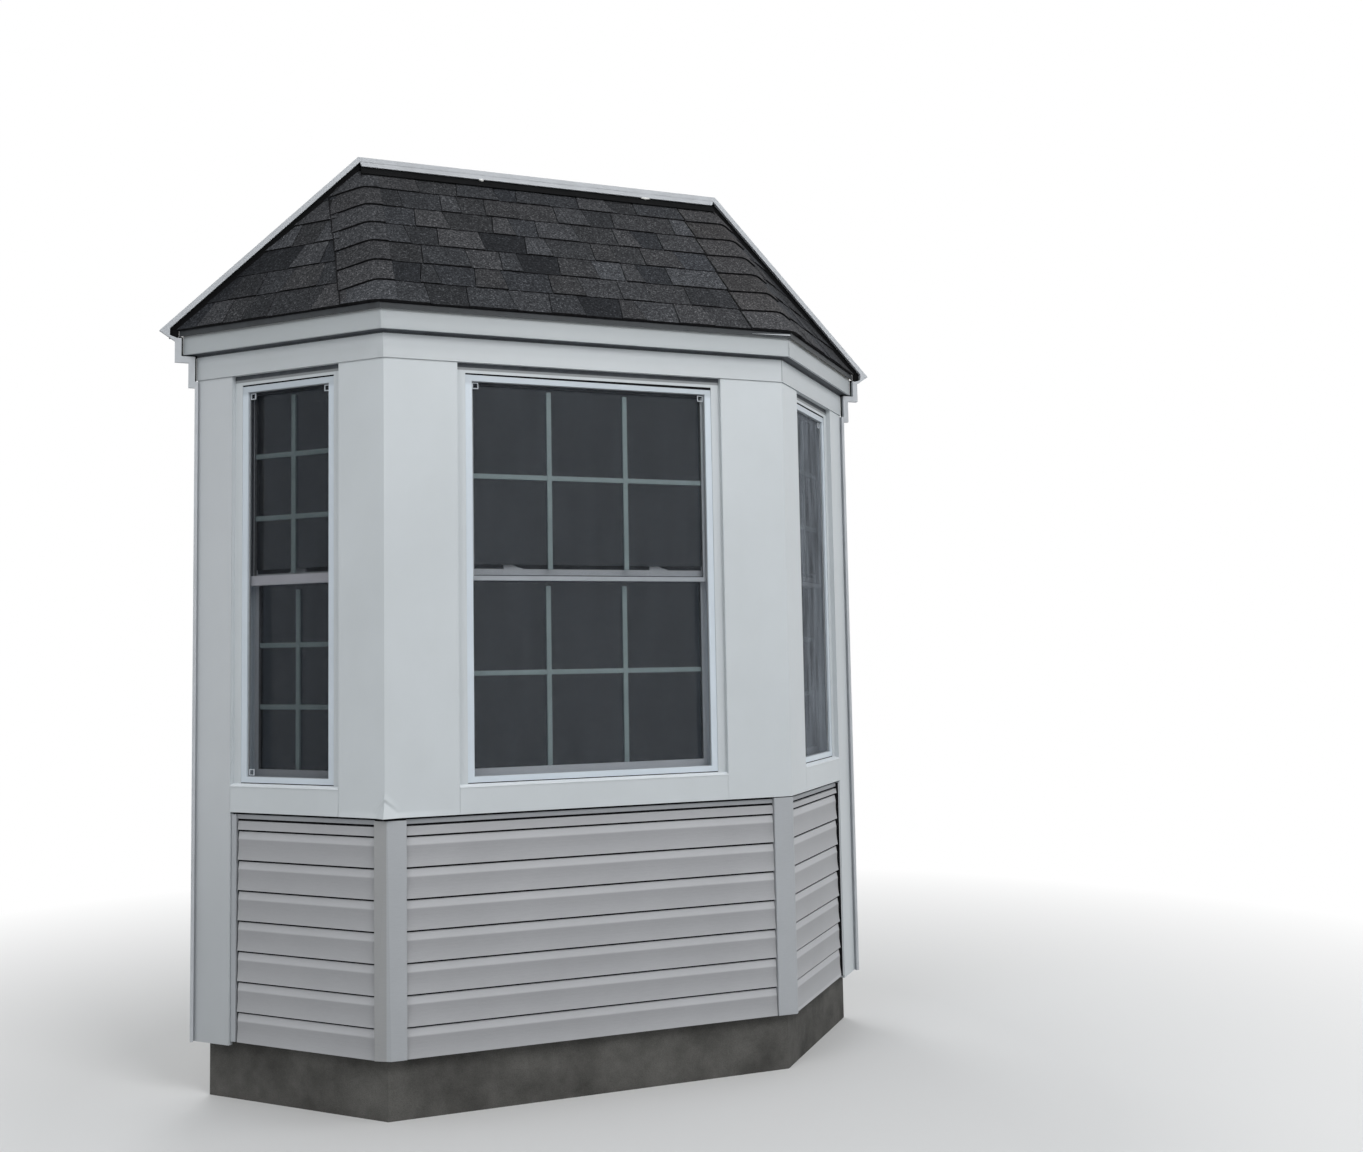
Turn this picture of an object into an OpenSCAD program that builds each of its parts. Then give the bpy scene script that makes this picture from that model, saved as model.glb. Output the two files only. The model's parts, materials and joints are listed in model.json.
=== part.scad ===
// Three-sided bay window: a front face and two angled faces on a low foundation,
// with a double-hung window in each face, a lap-sided apron below and a hipped roof above.
// X runs along the house wall, +Y points to the house and Z is up.
// The origin is the middle of the bottom of the whole bay; its back is the wall plane.

/* [Plan] */
// Width of the front face, corner to corner
front_w = 1656; // [1500:1:2000]
// How far the front face stands out from the house wall
projection = 630; // [560:1:800]
// Angle between the house wall and each side face
bay_angle = 45; // [40:1:50]
// Thickness of the trim boards on the outside
trim_t = 20; // [16:1:24]
// Thickness of the framed walls with their sheathing
wall_t = 102; // [90:1:150]
// Thickness of the inner wall and ceiling boards
lining_t = 12; // [9:1:16]

/* [Base] */
// Height of the foundation wall above the ground
foundation_h = 250; // [150:1:500]
// Thickness of the foundation wall
foundation_t = 150; // [120:1:200]
// Setback of the foundation from the face of the trim
foundation_inset = 45; // [35:1:60]
// Thickness of the sawn framing lumber
lumber_t = 38; // [36:1:40]
// Width of the sill plate on the foundation
plate_w = 140; // [120:1:160]
// Depth of the floor joists
joist_h = 184; // [140:1:235]
// Spacing of the joists and rafters
framing_pitch = 406; // [350:1:420]
// Thickness of the subfloor
subfloor_t = 19; // [16:1:22]
// Thickness of the finished floor boards
floor_t = 19; // [12:1:22]

/* [Apron siding] */
// Exposed height of one course of siding
course_h = 114.3; // [100:0.1:130]
// Height of the siding from its bottom edge to the sill band
siding_h = 866; // [700:1:1000]
// How far the siding hangs below the top of the foundation
siding_drop = 25; // [15:1:60]
// Outward reach of a course at its butt edge
butt_out = 15; // [12:1:17]
// Outward reach of a course where its hollow starts
face_out = 12; // [9:1:12]
// Outward reach of a course at its top
neck_out = 5; // [3:1:7]
// Width of the corner post on the front face
post_front_w = 80; // [60:1:100]
// Width of the corner post on each side face
post_side_w = 46; // [30:1:80]
// How far the corner post stands out from the face of the trim
post_out = 2; // [1:0.5:5]
// Width of the channel that ends the siding at the wall trim
channel_w = 20; // [14:1:28]
// Height of the trim strip that ends the siding under the sill band
strip_h = 23; // [16:1:30]

/* [Trim] */
// Height of the sill band under the windows
band_h = 98; // [70:1:130]
// Visible height of the frieze over the windows
frieze_h = 100; // [70:1:140]
// How far the frieze stands out from the face of the trim
frieze_out = 3; // [1:0.5:8]
// Height of the fascia
fascia_h = 90; // [70:1:120]
// How far the fascia stands out from the face of the trim
fascia_out = 40; // [30:1:50]
// Width of the wall trim board between the side window and the house wall
wall_trim_w = 176; // [160:1:200]
// How far the wall trim runs below the siding
wall_trim_drop = 15; // [0:1:20]

/* [Windows] */
// Height of every window opening
window_h = 1606; // [1400:1:1700]
// Width of the front window opening
front_window_w = 1095; // [900:1:1200]
// Width of each side window opening
side_window_w = 510; // [440:1:600]
// Depth of the jamb behind the face of the trim
jamb_set = 18; // [10:1:20]
// Width of the jamb at each side
jamb_side_w = 35; // [25:1:45]
// Height of the jamb at the head
jamb_head_h = 38; // [25:1:45]
// Thickness of the sill inside the jamb
sill_t = 11; // [9:1:20]
// Thickness of the front lip of the sill
sill_lip = 4; // [2:1:6]
// Depth of the window frame behind the face of the trim
frame_set = 21; // [14:1:26]
// Width of the outer flange of the window frame
flange_w = 26; // [24:1:32]
// Wall of the frame behind the sash tracks
track_wall = 8; // [6:1:10]
// Thickness of the outer flange
flange_t = 8; // [6:1:10]
// Depth of the pocket for the insect screen
screen_pocket = 12; // [10:1:14]
// Depth of each sash track
track_d = 26; // [24:1:30]
// Thickness of the ribs between the tracks
rib_t = 4; // [3:0.5:5]
// Width of the ribs between the tracks
rib_w = 20; // [16:1:22]
// Thickness of a sash
sash_t = 24; // [20:1:24]
// Width of the stiles and of the top rail of a sash
stile_w = 27; // [25:1:35]
// Height of the bottom rail of the lower sash
bottom_rail_h = 43; // [36:1:60]
// Height of the meeting rail of the upper sash
upper_meeting_h = 18; // [16:1:40]
// Height of the meeting rail of the lower sash
lower_meeting_h = 40; // [28:1:46]
// Middle of the meeting rails above the bottom of the opening
meeting_z = 788; // [650:1:850]
// Overlap in height of the two meeting rails
meeting_lap = 12; // [0:1:24]
// Thickness of the sealed glass unit
glass_t = 18; // [14:1:18]
// Depth of the glass in its groove
glass_bite = 8; // [5:1:10]
// Width of the insect screen's frame bar
screen_bar = 10; // [8:1:14]
// Thickness of the insect screen's frame bar
screen_t = 8; // [6:1:9]
// Thickness of the insect mesh
mesh_t = 1; // [0.6:0.1:2]

/* [Inside] */
// Width of the inner window casing
casing_w = 57; // [45:1:70]
// Thickness of the inner window casing
casing_t = 16; // [12:1:20]
// Height of the baseboard
baseboard_h = 90; // [70:1:140]
// Thickness of the baseboard
baseboard_t = 14; // [10:1:18]
// Height of the top plate above the window openings
header_h = 165; // [150:1:240]
// Depth of the ceiling joists
ceiling_joist_h = 89; // [64:1:89]

/* [Roof] */
// Slope of the front of the roof
roof_pitch = 47.3; // [40:0.1:50]
// How far the end of the ridge line stands inside the corner of the eave
ridge_inset = 46; // [20:1:90]
// How far the shingles reach past the face of the trim
eave_out = 65; // [56:1:80]
// How far the roof boards reach past the face of the trim
deck_out = 50; // [46:1:52]
// Thickness of the shingle covering
shingle_t = 14; // [8:1:18]
// Thickness of the roof boards
deck_t = 13; // [11:1:19]
// Depth of the rafters
rafter_h = 89; // [70:1:100]
// Height of the ridge board on the house wall
ledger_h = 140; // [110:1:184]
// Height of the drip edge
drip_h = 30; // [20:1:40]
// Thickness of the drip edge
drip_t = 2; // [1:0.5:3]
// Reach of the step flashing up the house wall
flashing_h = 34; // [25:1:60]
// Thickness of the flashing
flashing_t = 3; // [2:0.5:5]
// Gap between the roof surface and the wall channel
channel_gap = 12; // [8:1:20]
// Width of the wall channel along the roof, seen from the front
wall_channel_w = 20; // [16:1:30]
// Depth of the wall channel
wall_channel_d = 18; // [12:1:25]
// Width of the wall channel where it steps round the fascia and frieze
step_channel_w = 25; // [18:1:30]
// Width of the wall channel along the wall trim
trim_channel_w = 12; // [8:1:18]
// Gap between the wall channel and the ends of the drip edge, fascia and frieze
channel_end_gap = 8; // [5:1:12]
// Height of the channel's tip below the eave line
channel_tip_drop = 12; // [8:1:20]

/* [Fit] */
// Clearance of a sliding piece on each side
slide_fit = 1; // [0.5:0.1:1.5]
// Clearance of a seated piece
seat_fit = 0.3; // [0.2:0.1:0.5]
// Gap over the head of a window frame
head_gap = 3; // [1:0.5:5]

/* [Hidden] */

// Distances outward (+) and inward (-) from the face of the trim
wall_face = -trim_t;
wall_back = wall_face - wall_t;
lining_face = wall_back - lining_t;
casing_face = lining_face - casing_t;

// Heights above the ground
plate_z = foundation_h + lumber_t;
subfloor_z = plate_z + joist_h;
wall_z = subfloor_z + subfloor_t;
floor_z = wall_z + floor_t;
siding_z = foundation_h - siding_drop;
band_z = siding_z + siding_h;
sill_z = band_z + band_h;
head_z = sill_z + window_h;
top_plate_z = head_z + header_h;
fascia_z = head_z + frieze_h;
fascia_top = fascia_z + fascia_h;

// Roof planes: the deck rests on the outer top edge of the fascia
cover_t = shingle_t + deck_t;
eave_z = fascia_top + cover_t / cos(roof_pitch) - (eave_out - fascia_out) * tan(roof_pitch);
roof_run = projection + eave_out;
ridge_z = eave_z + roof_run * tan(roof_pitch);
eave_corner = corner_x(eave_out);
ridge_half = eave_corner - ridge_inset;
side_run = (roof_run * cos(bay_angle) + (eave_corner - ridge_half) * sin(bay_angle));
side_pitch = atan((ridge_z - eave_z) / side_run);
wall_slope = atan((ridge_z - eave_z) / (wall_x(eave_out) - ridge_half));

// Middle of the bounding box along Y
wall_y = roof_run / 2;
// Length that reaches past the whole bay in every direction
far = 3 * (front_w + projection + window_h);
side_len = projection / sin(bay_angle);
// Distance of each side window opening from the front corner
side_window_s = side_len - side_window_w - wall_trim_w;

// Window frame, from the front
frame_d = flange_t + screen_pocket + rib_t + track_d + rib_t + track_d + rib_t;
screen_y = frame_set + flange_t;
upper_y = screen_y + screen_pocket + rib_t;
lower_y = upper_y + track_d + rib_t;
frame_h = window_h - jamb_head_h - sill_t - head_gap;

// X of the front corner and of the wall end on the line d outside the trim face
function corner_x(d) = front_w / 2 + d * tan(bay_angle / 2);
function wall_x(d) = front_w / 2 + projection / tan(bay_angle) + d / sin(bay_angle);
function front_y(d) = -(projection + d);

// Plan points at distance s along a face and d outside it
function front_pt(s, d) = [s, front_y(d)];
function side_pt(s, d) = [
    front_w / 2 + s * cos(bay_angle) + d * sin(bay_angle),
    -projection + s * sin(bay_angle) - d * cos(bay_angle)
];
function corner_pt(d) = [corner_x(d), front_y(d)];
function wall_pt(d) = [wall_x(d), 0];
function flip(p) = [-p[0], p[1]];

// Plan outline of the bay on the line d, and bands between two lines
function outline(d) = [flip(wall_pt(d)), flip(corner_pt(d)), corner_pt(d), wall_pt(d)];
function ring(d0, d1) = concat(
    outline(d1),
    [for (i = [3:-1:0]) outline(d0)[i]]
);
function front_band(d0, d1) = [flip(corner_pt(d1)), corner_pt(d1), corner_pt(d0), flip(corner_pt(d0))];
function side_band(d0, d1) = [corner_pt(d1), wall_pt(d1), wall_pt(d0), corner_pt(d0)];
function corner_band(s0, s1, d0, d1) = [
    front_pt(s0, d1), corner_pt(d1), side_pt(s1, d1),
    side_pt(s1, d0), corner_pt(d0), front_pt(s0, d0)
];
function end_band(s, d0, d1) = [side_pt(s, d1), wall_pt(d1), wall_pt(d0), side_pt(s, d0)];

// A plan shape raised between two heights
module raised(points, z0, z1) {
    translate([0, wall_y, z0])
        linear_extrude(z1 - z0)
            polygon(points);
}

module both_sides() {
    children();
    mirror([1, 0, 0]) children();
}

// Places a window's own frame: X along the face, Y inward and Z up from the opening
module on_front() {
    translate([0, wall_y - projection, sill_z]) children();
}
module on_right() {
    middle = side_pt(side_window_s + side_window_w / 2, 0);
    translate([middle[0], wall_y + middle[1], sill_z])
        rotate([0, 0, bay_angle])
            children();
}
module on_left() {
    mirror([1, 0, 0]) on_right() children();
}

// A block centred on X between two depths and two heights
module slab(w, y0, y1, z0, z1) {
    translate([-w / 2, y0, z0]) cube([w, y1 - y0, z1 - z0]);
}

// Room side of the wall plane
module before_wall() {
    intersection() {
        children();
        translate([-far, wall_y - far, -far]) cube([2 * far, far, 2 * far]);
    }
}

// Everything below one roof plane, moved inward by inset, and below all three
module under_plane(inset) {
    translate([-far, -far, -far - inset]) cube([2 * far, 2 * far, far]);
}
module under_front(inset) {
    translate([0, wall_y - roof_run, eave_z])
        rotate([roof_pitch, 0, 0])
            under_plane(inset);
}
module under_right(inset) {
    translate([eave_corner, wall_y - roof_run, eave_z])
        rotate([0, 0, bay_angle])
            rotate([side_pitch, 0, 0])
                under_plane(inset);
}
module under_roof(inset) {
    intersection() {
        under_front(inset);
        under_right(inset);
        mirror([1, 0, 0]) under_right(inset);
    }
}
// A layer that follows the roof planes between two insets
module roof_layer(inset0, inset1) {
    difference() {
        under_roof(inset0);
        under_roof(inset1);
    }
}
function front_slope() = [flip(corner_pt(eave_out)), corner_pt(eave_out), [ridge_half, 0], [-ridge_half, 0]];
function side_slope() = [corner_pt(eave_out), wall_pt(eave_out), [ridge_half, 0]];

module foundation() {
    color("dimgray")
        raised(ring(-foundation_inset - foundation_t, -foundation_inset), 0, foundation_h);
}

module sill_plate() {
    color("darkkhaki")
        raised(ring(wall_face - plate_w, wall_face), foundation_h, plate_z);
}

module floor_joists() {
    rim_back = wall_face - lumber_t;
    reach = floor(wall_x(rim_back - lumber_t) / framing_pitch);
    color("burlywood") {
        raised(ring(rim_back, wall_face), plate_z, subfloor_z);
        intersection() {
            raised(outline(rim_back + 1), plate_z, subfloor_z);
            for (i = [-reach:reach])
                translate([i * framing_pitch, wall_y - projection, 0])
                    slab(lumber_t, 0, projection, plate_z, subfloor_z);
        }
    }
}

module subfloor() {
    color("tan") raised(outline(wall_face), subfloor_z, wall_z);
}

module floor_boards() {
    color("peru") raised(outline(lining_face), wall_z, floor_z);
}

module knee_wall_front() {
    color("burlywood") raised(front_band(wall_back, wall_face), wall_z, sill_z);
}
module knee_wall_right() {
    color("burlywood") raised(side_band(wall_back, wall_face), wall_z, sill_z);
}
module knee_wall_left() {
    mirror([1, 0, 0]) knee_wall_right();
}

module corner_post_right() {
    color("burlywood")
        raised(corner_band(front_window_w / 2, side_window_s, wall_back, wall_face), sill_z, head_z);
}
module corner_post_left() {
    mirror([1, 0, 0]) corner_post_right();
}

module end_post_right() {
    color("burlywood")
        raised(end_band(side_window_s + side_window_w, wall_back, wall_face), sill_z, head_z);
}
module end_post_left() {
    mirror([1, 0, 0]) end_post_right();
}

module header() {
    color("burlywood") raised(ring(wall_back, wall_face), head_z, top_plate_z);
}

module window_holes() {
    on_front() slab(front_window_w, 0, -casing_face, 0, window_h);
    on_right() slab(side_window_w, 0, -casing_face, 0, window_h);
    on_left() slab(side_window_w, 0, -casing_face, 0, window_h);
}

module lining() {
    color("whitesmoke")
        difference() {
            raised(ring(lining_face, wall_back), wall_z, top_plate_z - lining_t);
            window_holes();
        }
}

module baseboard() {
    color("white")
        raised(ring(lining_face - baseboard_t, lining_face), floor_z, floor_z + baseboard_h);
}

module ceiling() {
    color("whitesmoke") raised(outline(wall_back), top_plate_z - lining_t, top_plate_z);
}

module ceiling_joists() {
    bearing = wall_back + wall_t / 2;
    reach = floor(wall_x(bearing - lumber_t) / framing_pitch);
    color("burlywood")
        intersection() {
            raised(outline(bearing), top_plate_z, top_plate_z + ceiling_joist_h);
            for (i = [-reach:reach])
                translate([i * framing_pitch, wall_y - projection, 0])
                    slab(lumber_t, 0, projection - lumber_t, top_plate_z, top_plate_z + ceiling_joist_h);
        }
}

module ridge_board() {
    half = ridge_half - lumber_t;
    color("burlywood")
        intersection() {
            under_roof(cover_t);
            translate([0, wall_y, 0]) slab(2 * half, -lumber_t, 0, ridge_z - ledger_h - cover_t, ridge_z);
        }
}

// The space of the rafters: between the roof boards and the wall framing
module rafter_zone(back) {
    intersection() {
        difference() {
            roof_layer(cover_t, cover_t + rafter_h);
            raised(ring(wall_back - rafter_h, wall_face), head_z, top_plate_z);
        }
        raised([for (p = outline(wall_face)) p[1] == 0 ? [p[0], -back] : p], top_plate_z, ridge_z);
    }
}

module common_rafters() {
    first = lumber_t;
    reach = floor((ridge_half - 3 * lumber_t) / framing_pitch);
    color("burlywood")
        intersection() {
            rafter_zone(lumber_t);
            raised(front_slope(), top_plate_z, ridge_z);
            for (i = [-reach:reach])
                translate([i * framing_pitch + first, wall_y - projection, 0])
                    slab(lumber_t, 0, projection, top_plate_z, ridge_z);
        }
}

// Plan strip along the hip line
function hip_angle() = atan2(roof_run, ridge_half - eave_corner);
module hip_strip(w) {
    translate([eave_corner, wall_y - roof_run, top_plate_z])
        rotate([0, 0, hip_angle()])
            translate([-far, -w / 2, 0])
                cube([2 * far, w, ridge_z - top_plate_z]);
}

module hip_rafters() {
    color("burlywood")
        both_sides()
            intersection() {
                rafter_zone(lumber_t);
                hip_strip(lumber_t);
            }
}

module jack_rafters() {
    middle = side_len / 2;
    color("burlywood")
        both_sides()
            difference() {
                intersection() {
                    rafter_zone(lumber_t);
                    raised(side_slope(), top_plate_z, ridge_z);
                    translate([0, wall_y, 0])
                        linear_extrude(ridge_z)
                            polygon([
                                side_pt(middle - lumber_t / 2, 0), side_pt(middle + lumber_t / 2, 0),
                                side_pt(middle + lumber_t / 2, -side_len), side_pt(middle - lumber_t / 2, -side_len)
                            ]);
                }
                hip_strip(lumber_t);
            }
}

module wall_rafters() {
    color("burlywood")
        both_sides()
            difference() {
                intersection() {
                    rafter_zone(0);
                    translate([ridge_half - lumber_t, wall_y - lumber_t, top_plate_z])
                        cube([far, lumber_t, ridge_z]);
                }
                hip_strip(lumber_t);
            }
}

module roof_deck() {
    color("sienna")
        before_wall()
            intersection() {
                roof_layer(shingle_t, cover_t);
                raised(outline(deck_out), fascia_z, ridge_z);
            }
}

module shingles_front() {
    color([0.16, 0.16, 0.17])
        intersection() {
            difference() {
                under_front(0);
                under_front(shingle_t);
            }
            raised(front_slope(), fascia_z, far);
        }
}
module shingles_right() {
    color([0.16, 0.16, 0.17])
        intersection() {
            difference() {
                under_right(0);
                under_right(shingle_t);
            }
            raised(side_slope(), fascia_z, far);
        }
}
module shingles_left() {
    mirror([1, 0, 0]) shingles_right();
}

module drip_edge() {
    drip_z = eave_z - drip_h;
    color([0.1, 0.1, 0.1])
        intersection() {
            under_roof(shingle_t);
            raised(ring(deck_out, deck_out + drip_t), drip_z, ridge_z);
        }
}

// Line of the roof surface on the house wall, moved out by w, from the left eave to the right
function wall_line(w, drop) = [
    [-(wall_x(eave_out) + w / sin(wall_slope) + drop / tan(wall_slope)), eave_z - drop],
    [-(ridge_half + w * tan(wall_slope / 2)), ridge_z + w],
    [ridge_half + w * tan(wall_slope / 2), ridge_z + w],
    [wall_x(eave_out) + w / sin(wall_slope) + drop / tan(wall_slope), eave_z - drop]
];
module wall_strip(w0, w1, drop, depth) {
    translate([0, wall_y, 0])
        rotate([90, 0, 0])
            linear_extrude(depth)
                polygon(concat(wall_line(w1, drop), [for (i = [3:-1:0]) wall_line(w0, drop)[i]]));
}

module wall_flashing() {
    color([0.12, 0.12, 0.12]) wall_strip(0, flashing_h, 0, flashing_t);
}

// The channel's way down from the eave, in steps round the ends of the fascia and frieze
function channel_steps() =
    let (
        fascia_x = wall_x(fascia_out) + channel_end_gap,
        frieze_x = wall_x(frieze_out) + channel_end_gap,
        trim_x = wall_x(seat_fit),
        drip_x = wall_x(deck_out + drip_t) + channel_end_gap,
        under_shingles = eave_z - shingle_t / cos(side_pitch) - channel_end_gap / 2,
        under_drip = eave_z - drip_h - channel_end_gap,
        under_fascia = fascia_z - channel_end_gap,
        under_frieze = head_z - channel_end_gap,
        tip = wall_line(channel_gap + wall_channel_w, channel_tip_drop)[3],
        inner = wall_line(channel_gap, 0)[3]
    )
    [
        inner,
        wall_line(channel_gap + wall_channel_w, 0)[3],
        tip,
        [fascia_x + step_channel_w, under_drip - step_channel_w / 2],
        [fascia_x + step_channel_w, under_fascia - step_channel_w],
        [frieze_x + step_channel_w, under_fascia - step_channel_w],
        [frieze_x + step_channel_w, under_frieze - step_channel_w],
        [trim_x + trim_channel_w, under_frieze - step_channel_w],
        [trim_x + trim_channel_w, siding_z - wall_trim_drop],
        [trim_x, siding_z - wall_trim_drop],
        [trim_x, under_frieze],
        [frieze_x, under_frieze],
        [frieze_x, under_fascia],
        [fascia_x, under_fascia],
        [fascia_x, under_drip],
        [drip_x, under_drip],
        [inner[0], under_shingles]
    ];

module wall_channel() {
    color("white") {
        translate([0, -flashing_t, 0])
            wall_strip(channel_gap, channel_gap + wall_channel_w, 0, wall_channel_d - flashing_t);
        both_sides()
            translate([0, wall_y, 0])
                rotate([90, 0, 0])
                    linear_extrude(wall_channel_d)
                        polygon(channel_steps());
    }
}

// Profile of the lap siding: outward reach against height, one course after another
function course_profile(z) = [
    [butt_out, z],
    [face_out, z + 0.58 * course_h],
    [face_out - 0.45 * (face_out - neck_out), z + 0.68 * course_h],
    [face_out - 0.78 * (face_out - neck_out), z + 0.8 * course_h],
    [neck_out, z + course_h]
];
module siding_run(len) {
    courses = ceil(siding_h / course_h);
    intersection() {
        rotate([90, 0, 90])
            linear_extrude(len)
                polygon(concat(
                    [[0, courses * course_h], [0, 0]],
                    [for (i = [0:courses - 1]) each [for (p = course_profile(i * course_h)) [-p[0], p[1]]]]
                ));
        translate([0, -far / 2, 0]) cube([len, far, siding_h - strip_h]);
    }
}

module siding_front() {
    len = front_w - 2 * post_front_w;
    color("gainsboro")
        translate([-len / 2, wall_y + front_y(wall_face), siding_z])
            siding_run(len);
}
module siding_right() {
    start = side_pt(post_side_w, wall_face);
    len = side_window_s + side_window_w - channel_w - post_side_w;
    color("gainsboro")
        translate([start[0], wall_y + start[1], siding_z])
            rotate([0, 0, bay_angle])
                siding_run(len);
}
module siding_left() {
    mirror([1, 0, 0]) siding_right();
}

module siding_corners() {
    color("silver")
        both_sides()
            raised(corner_band(front_w / 2 - post_front_w, post_side_w, wall_face, post_out), siding_z, band_z);
}

module siding_channels() {
    end = side_window_s + side_window_w;
    front_end = front_w / 2 - post_front_w;
    color("silver") {
        raised([
            [-front_end, front_y(wall_face)], [front_end, front_y(wall_face)],
            [front_end, front_y(wall_face + butt_out)], [-front_end, front_y(wall_face + butt_out)]
        ], band_z - strip_h, band_z);
        both_sides() {
            raised([
                side_pt(post_side_w, wall_face), side_pt(end, wall_face),
                side_pt(end, wall_face + butt_out), side_pt(post_side_w, wall_face + butt_out)
            ], band_z - strip_h, band_z);
            raised([
                side_pt(end - channel_w, wall_face), side_pt(end, wall_face),
                side_pt(end, wall_face + butt_out), side_pt(end - channel_w, wall_face + butt_out)
            ], siding_z, band_z - strip_h);
        }
    }
}

module wall_trim() {
    color("white")
        both_sides()
            raised(end_band(side_window_s + side_window_w, wall_face, 0), siding_z - wall_trim_drop, head_z);
}

module corner_panels() {
    color("white")
        both_sides()
            raised(corner_band(front_window_w / 2, side_window_s, wall_face, 0), band_z, head_z);
}

module sill_band() {
    end = side_window_s + side_window_w;
    color("white") {
        translate([0, wall_y - projection, 0]) slab(front_window_w, 0, trim_t, band_z, sill_z);
        both_sides()
            raised([
                side_pt(side_window_s, wall_face), side_pt(end, wall_face),
                side_pt(end, 0), side_pt(side_window_s, 0)
            ], band_z, sill_z);
    }
}

module frieze() {
    color("white") raised(ring(wall_face, frieze_out), head_z, fascia_top);
}

module fascia() {
    color("white")
        intersection() {
            raised(ring(frieze_out, fascia_out), fascia_z, fascia_top);
            under_roof(cover_t);
        }
}

// One window jamb with its sloped sill, whose front lip fills the whole opening
module jamb(w) {
    lip_back = sill_lip + (sill_t - sill_lip) * jamb_set / frame_set;
    difference() {
        slab(w, jamb_set, -lining_face, 0, window_h);
        slab(w - 2 * jamb_side_w, 0, -casing_face, -window_h, window_h - jamb_head_h);
    }
    translate([-w / 2 + jamb_side_w, 0, 0])
        rotate([90, 0, 90])
            linear_extrude(w - 2 * jamb_side_w)
                polygon([[0, 0], [0, sill_lip], [frame_set, sill_t], [-lining_face, sill_t], [-lining_face, 0]]);
    translate([-w / 2, 0, 0])
        rotate([90, 0, 90])
            linear_extrude(w)
                polygon([[0, 0], [0, sill_lip], [jamb_set, lip_back], [jamb_set, 0]]);
}
module window_jambs() {
    color("white") {
        on_front() jamb(front_window_w);
        on_right() jamb(side_window_w);
        on_left() jamb(side_window_w);
    }
}

module casing(w) {
    difference() {
        slab(w + 2 * casing_w, -lining_face, -casing_face, -casing_w, window_h + casing_w);
        slab(w - 2 * jamb_side_w, 0, far, sill_t, window_h - jamb_head_h);
    }
}
module window_casings() {
    color("white") {
        on_front() casing(front_window_w);
        before_wall() {
            on_right() casing(side_window_w);
            on_left() casing(side_window_w);
        }
    }
}

function frame_w(w) = w - 2 * jamb_side_w - 2 * seat_fit;

// Opening that leaves a border of the frame's own width m
module frame_hole(w, m, y0, y1) {
    slab(frame_w(w) - 2 * m, y0, y1, m, frame_h - m);
}
module window_frame(w) {
    color("white")
        translate([0, 0, sill_t])
            difference() {
                slab(frame_w(w), frame_set, frame_set + frame_d, 0, frame_h);
                frame_hole(w, flange_w, 0, far);
                frame_hole(w, (track_wall + flange_w) / 2, screen_y, screen_y + screen_pocket);
                frame_hole(w, rib_w, screen_y, far);
                frame_hole(w, track_wall, upper_y, upper_y + track_d);
                frame_hole(w, track_wall, lower_y, lower_y + track_d);
            }
}
module frame_front() {
    on_front() window_frame(front_window_w);
}
module frame_right() {
    on_right() window_frame(side_window_w);
}
module frame_left() {
    on_left() window_frame(side_window_w);
}

// Heights of the sashes above the bottom of the opening
sash_low = sill_t + track_wall + seat_fit;
sash_high = sill_t + frame_h - track_wall - seat_fit;
upper_low = meeting_z - meeting_lap / 2 - (upper_meeting_h - meeting_lap);
lower_high = meeting_z + meeting_lap / 2 + (lower_meeting_h - meeting_lap);
function sash_w(w) = frame_w(w) - 2 * track_wall - 2 * slide_fit;
function pane_w(w) = sash_w(w) - 2 * stile_w;

// A sash with a groove for its glass, between heights z0 and z1
module sash(w, y, z0, z1, low_rail, high_rail) {
    sash_y = y + (track_d - sash_t) / 2;
    glass_y = sash_y + (sash_t - glass_t) / 2;
    color("white")
        difference() {
            slab(sash_w(w), sash_y, sash_y + sash_t, z0, z1);
            slab(pane_w(w), 0, far, z0 + low_rail, z1 - high_rail);
            slab(
                pane_w(w) + 2 * (glass_bite + seat_fit),
                glass_y - seat_fit, glass_y + glass_t + seat_fit,
                z0 + low_rail - glass_bite - seat_fit, z1 - high_rail + glass_bite + seat_fit
            );
        }
}
module pane(w, y, z0, z1) {
    glass_y = y + (track_d - glass_t) / 2;
    slab(pane_w(w) + 2 * glass_bite, glass_y, glass_y + glass_t, z0 - glass_bite, z1 + glass_bite);
}

module upper_sash(w) {
    sash(w, upper_y, upper_low, sash_high, upper_meeting_h, stile_w);
}
module upper_sash_front() {
    on_front() upper_sash(front_window_w);
}
module upper_sash_right() {
    on_right() upper_sash(side_window_w);
}
module upper_sash_left() {
    on_left() upper_sash(side_window_w);
}

module lower_sash(w) {
    sash(w, lower_y, sash_low, lower_high, bottom_rail_h, lower_meeting_h);
}
module lower_sash_front() {
    on_front() lower_sash(front_window_w);
}
module lower_sash_right() {
    on_right() lower_sash(side_window_w);
}
module lower_sash_left() {
    on_left() lower_sash(side_window_w);
}

module panes(w) {
    pane(w, upper_y, upper_low + upper_meeting_h, sash_high - stile_w);
    pane(w, lower_y, sash_low + bottom_rail_h, lower_high - lower_meeting_h);
}
module glass() {
    color("lightblue") {
        on_front() panes(front_window_w);
        on_right() panes(side_window_w);
        on_left() panes(side_window_w);
    }
}

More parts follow.
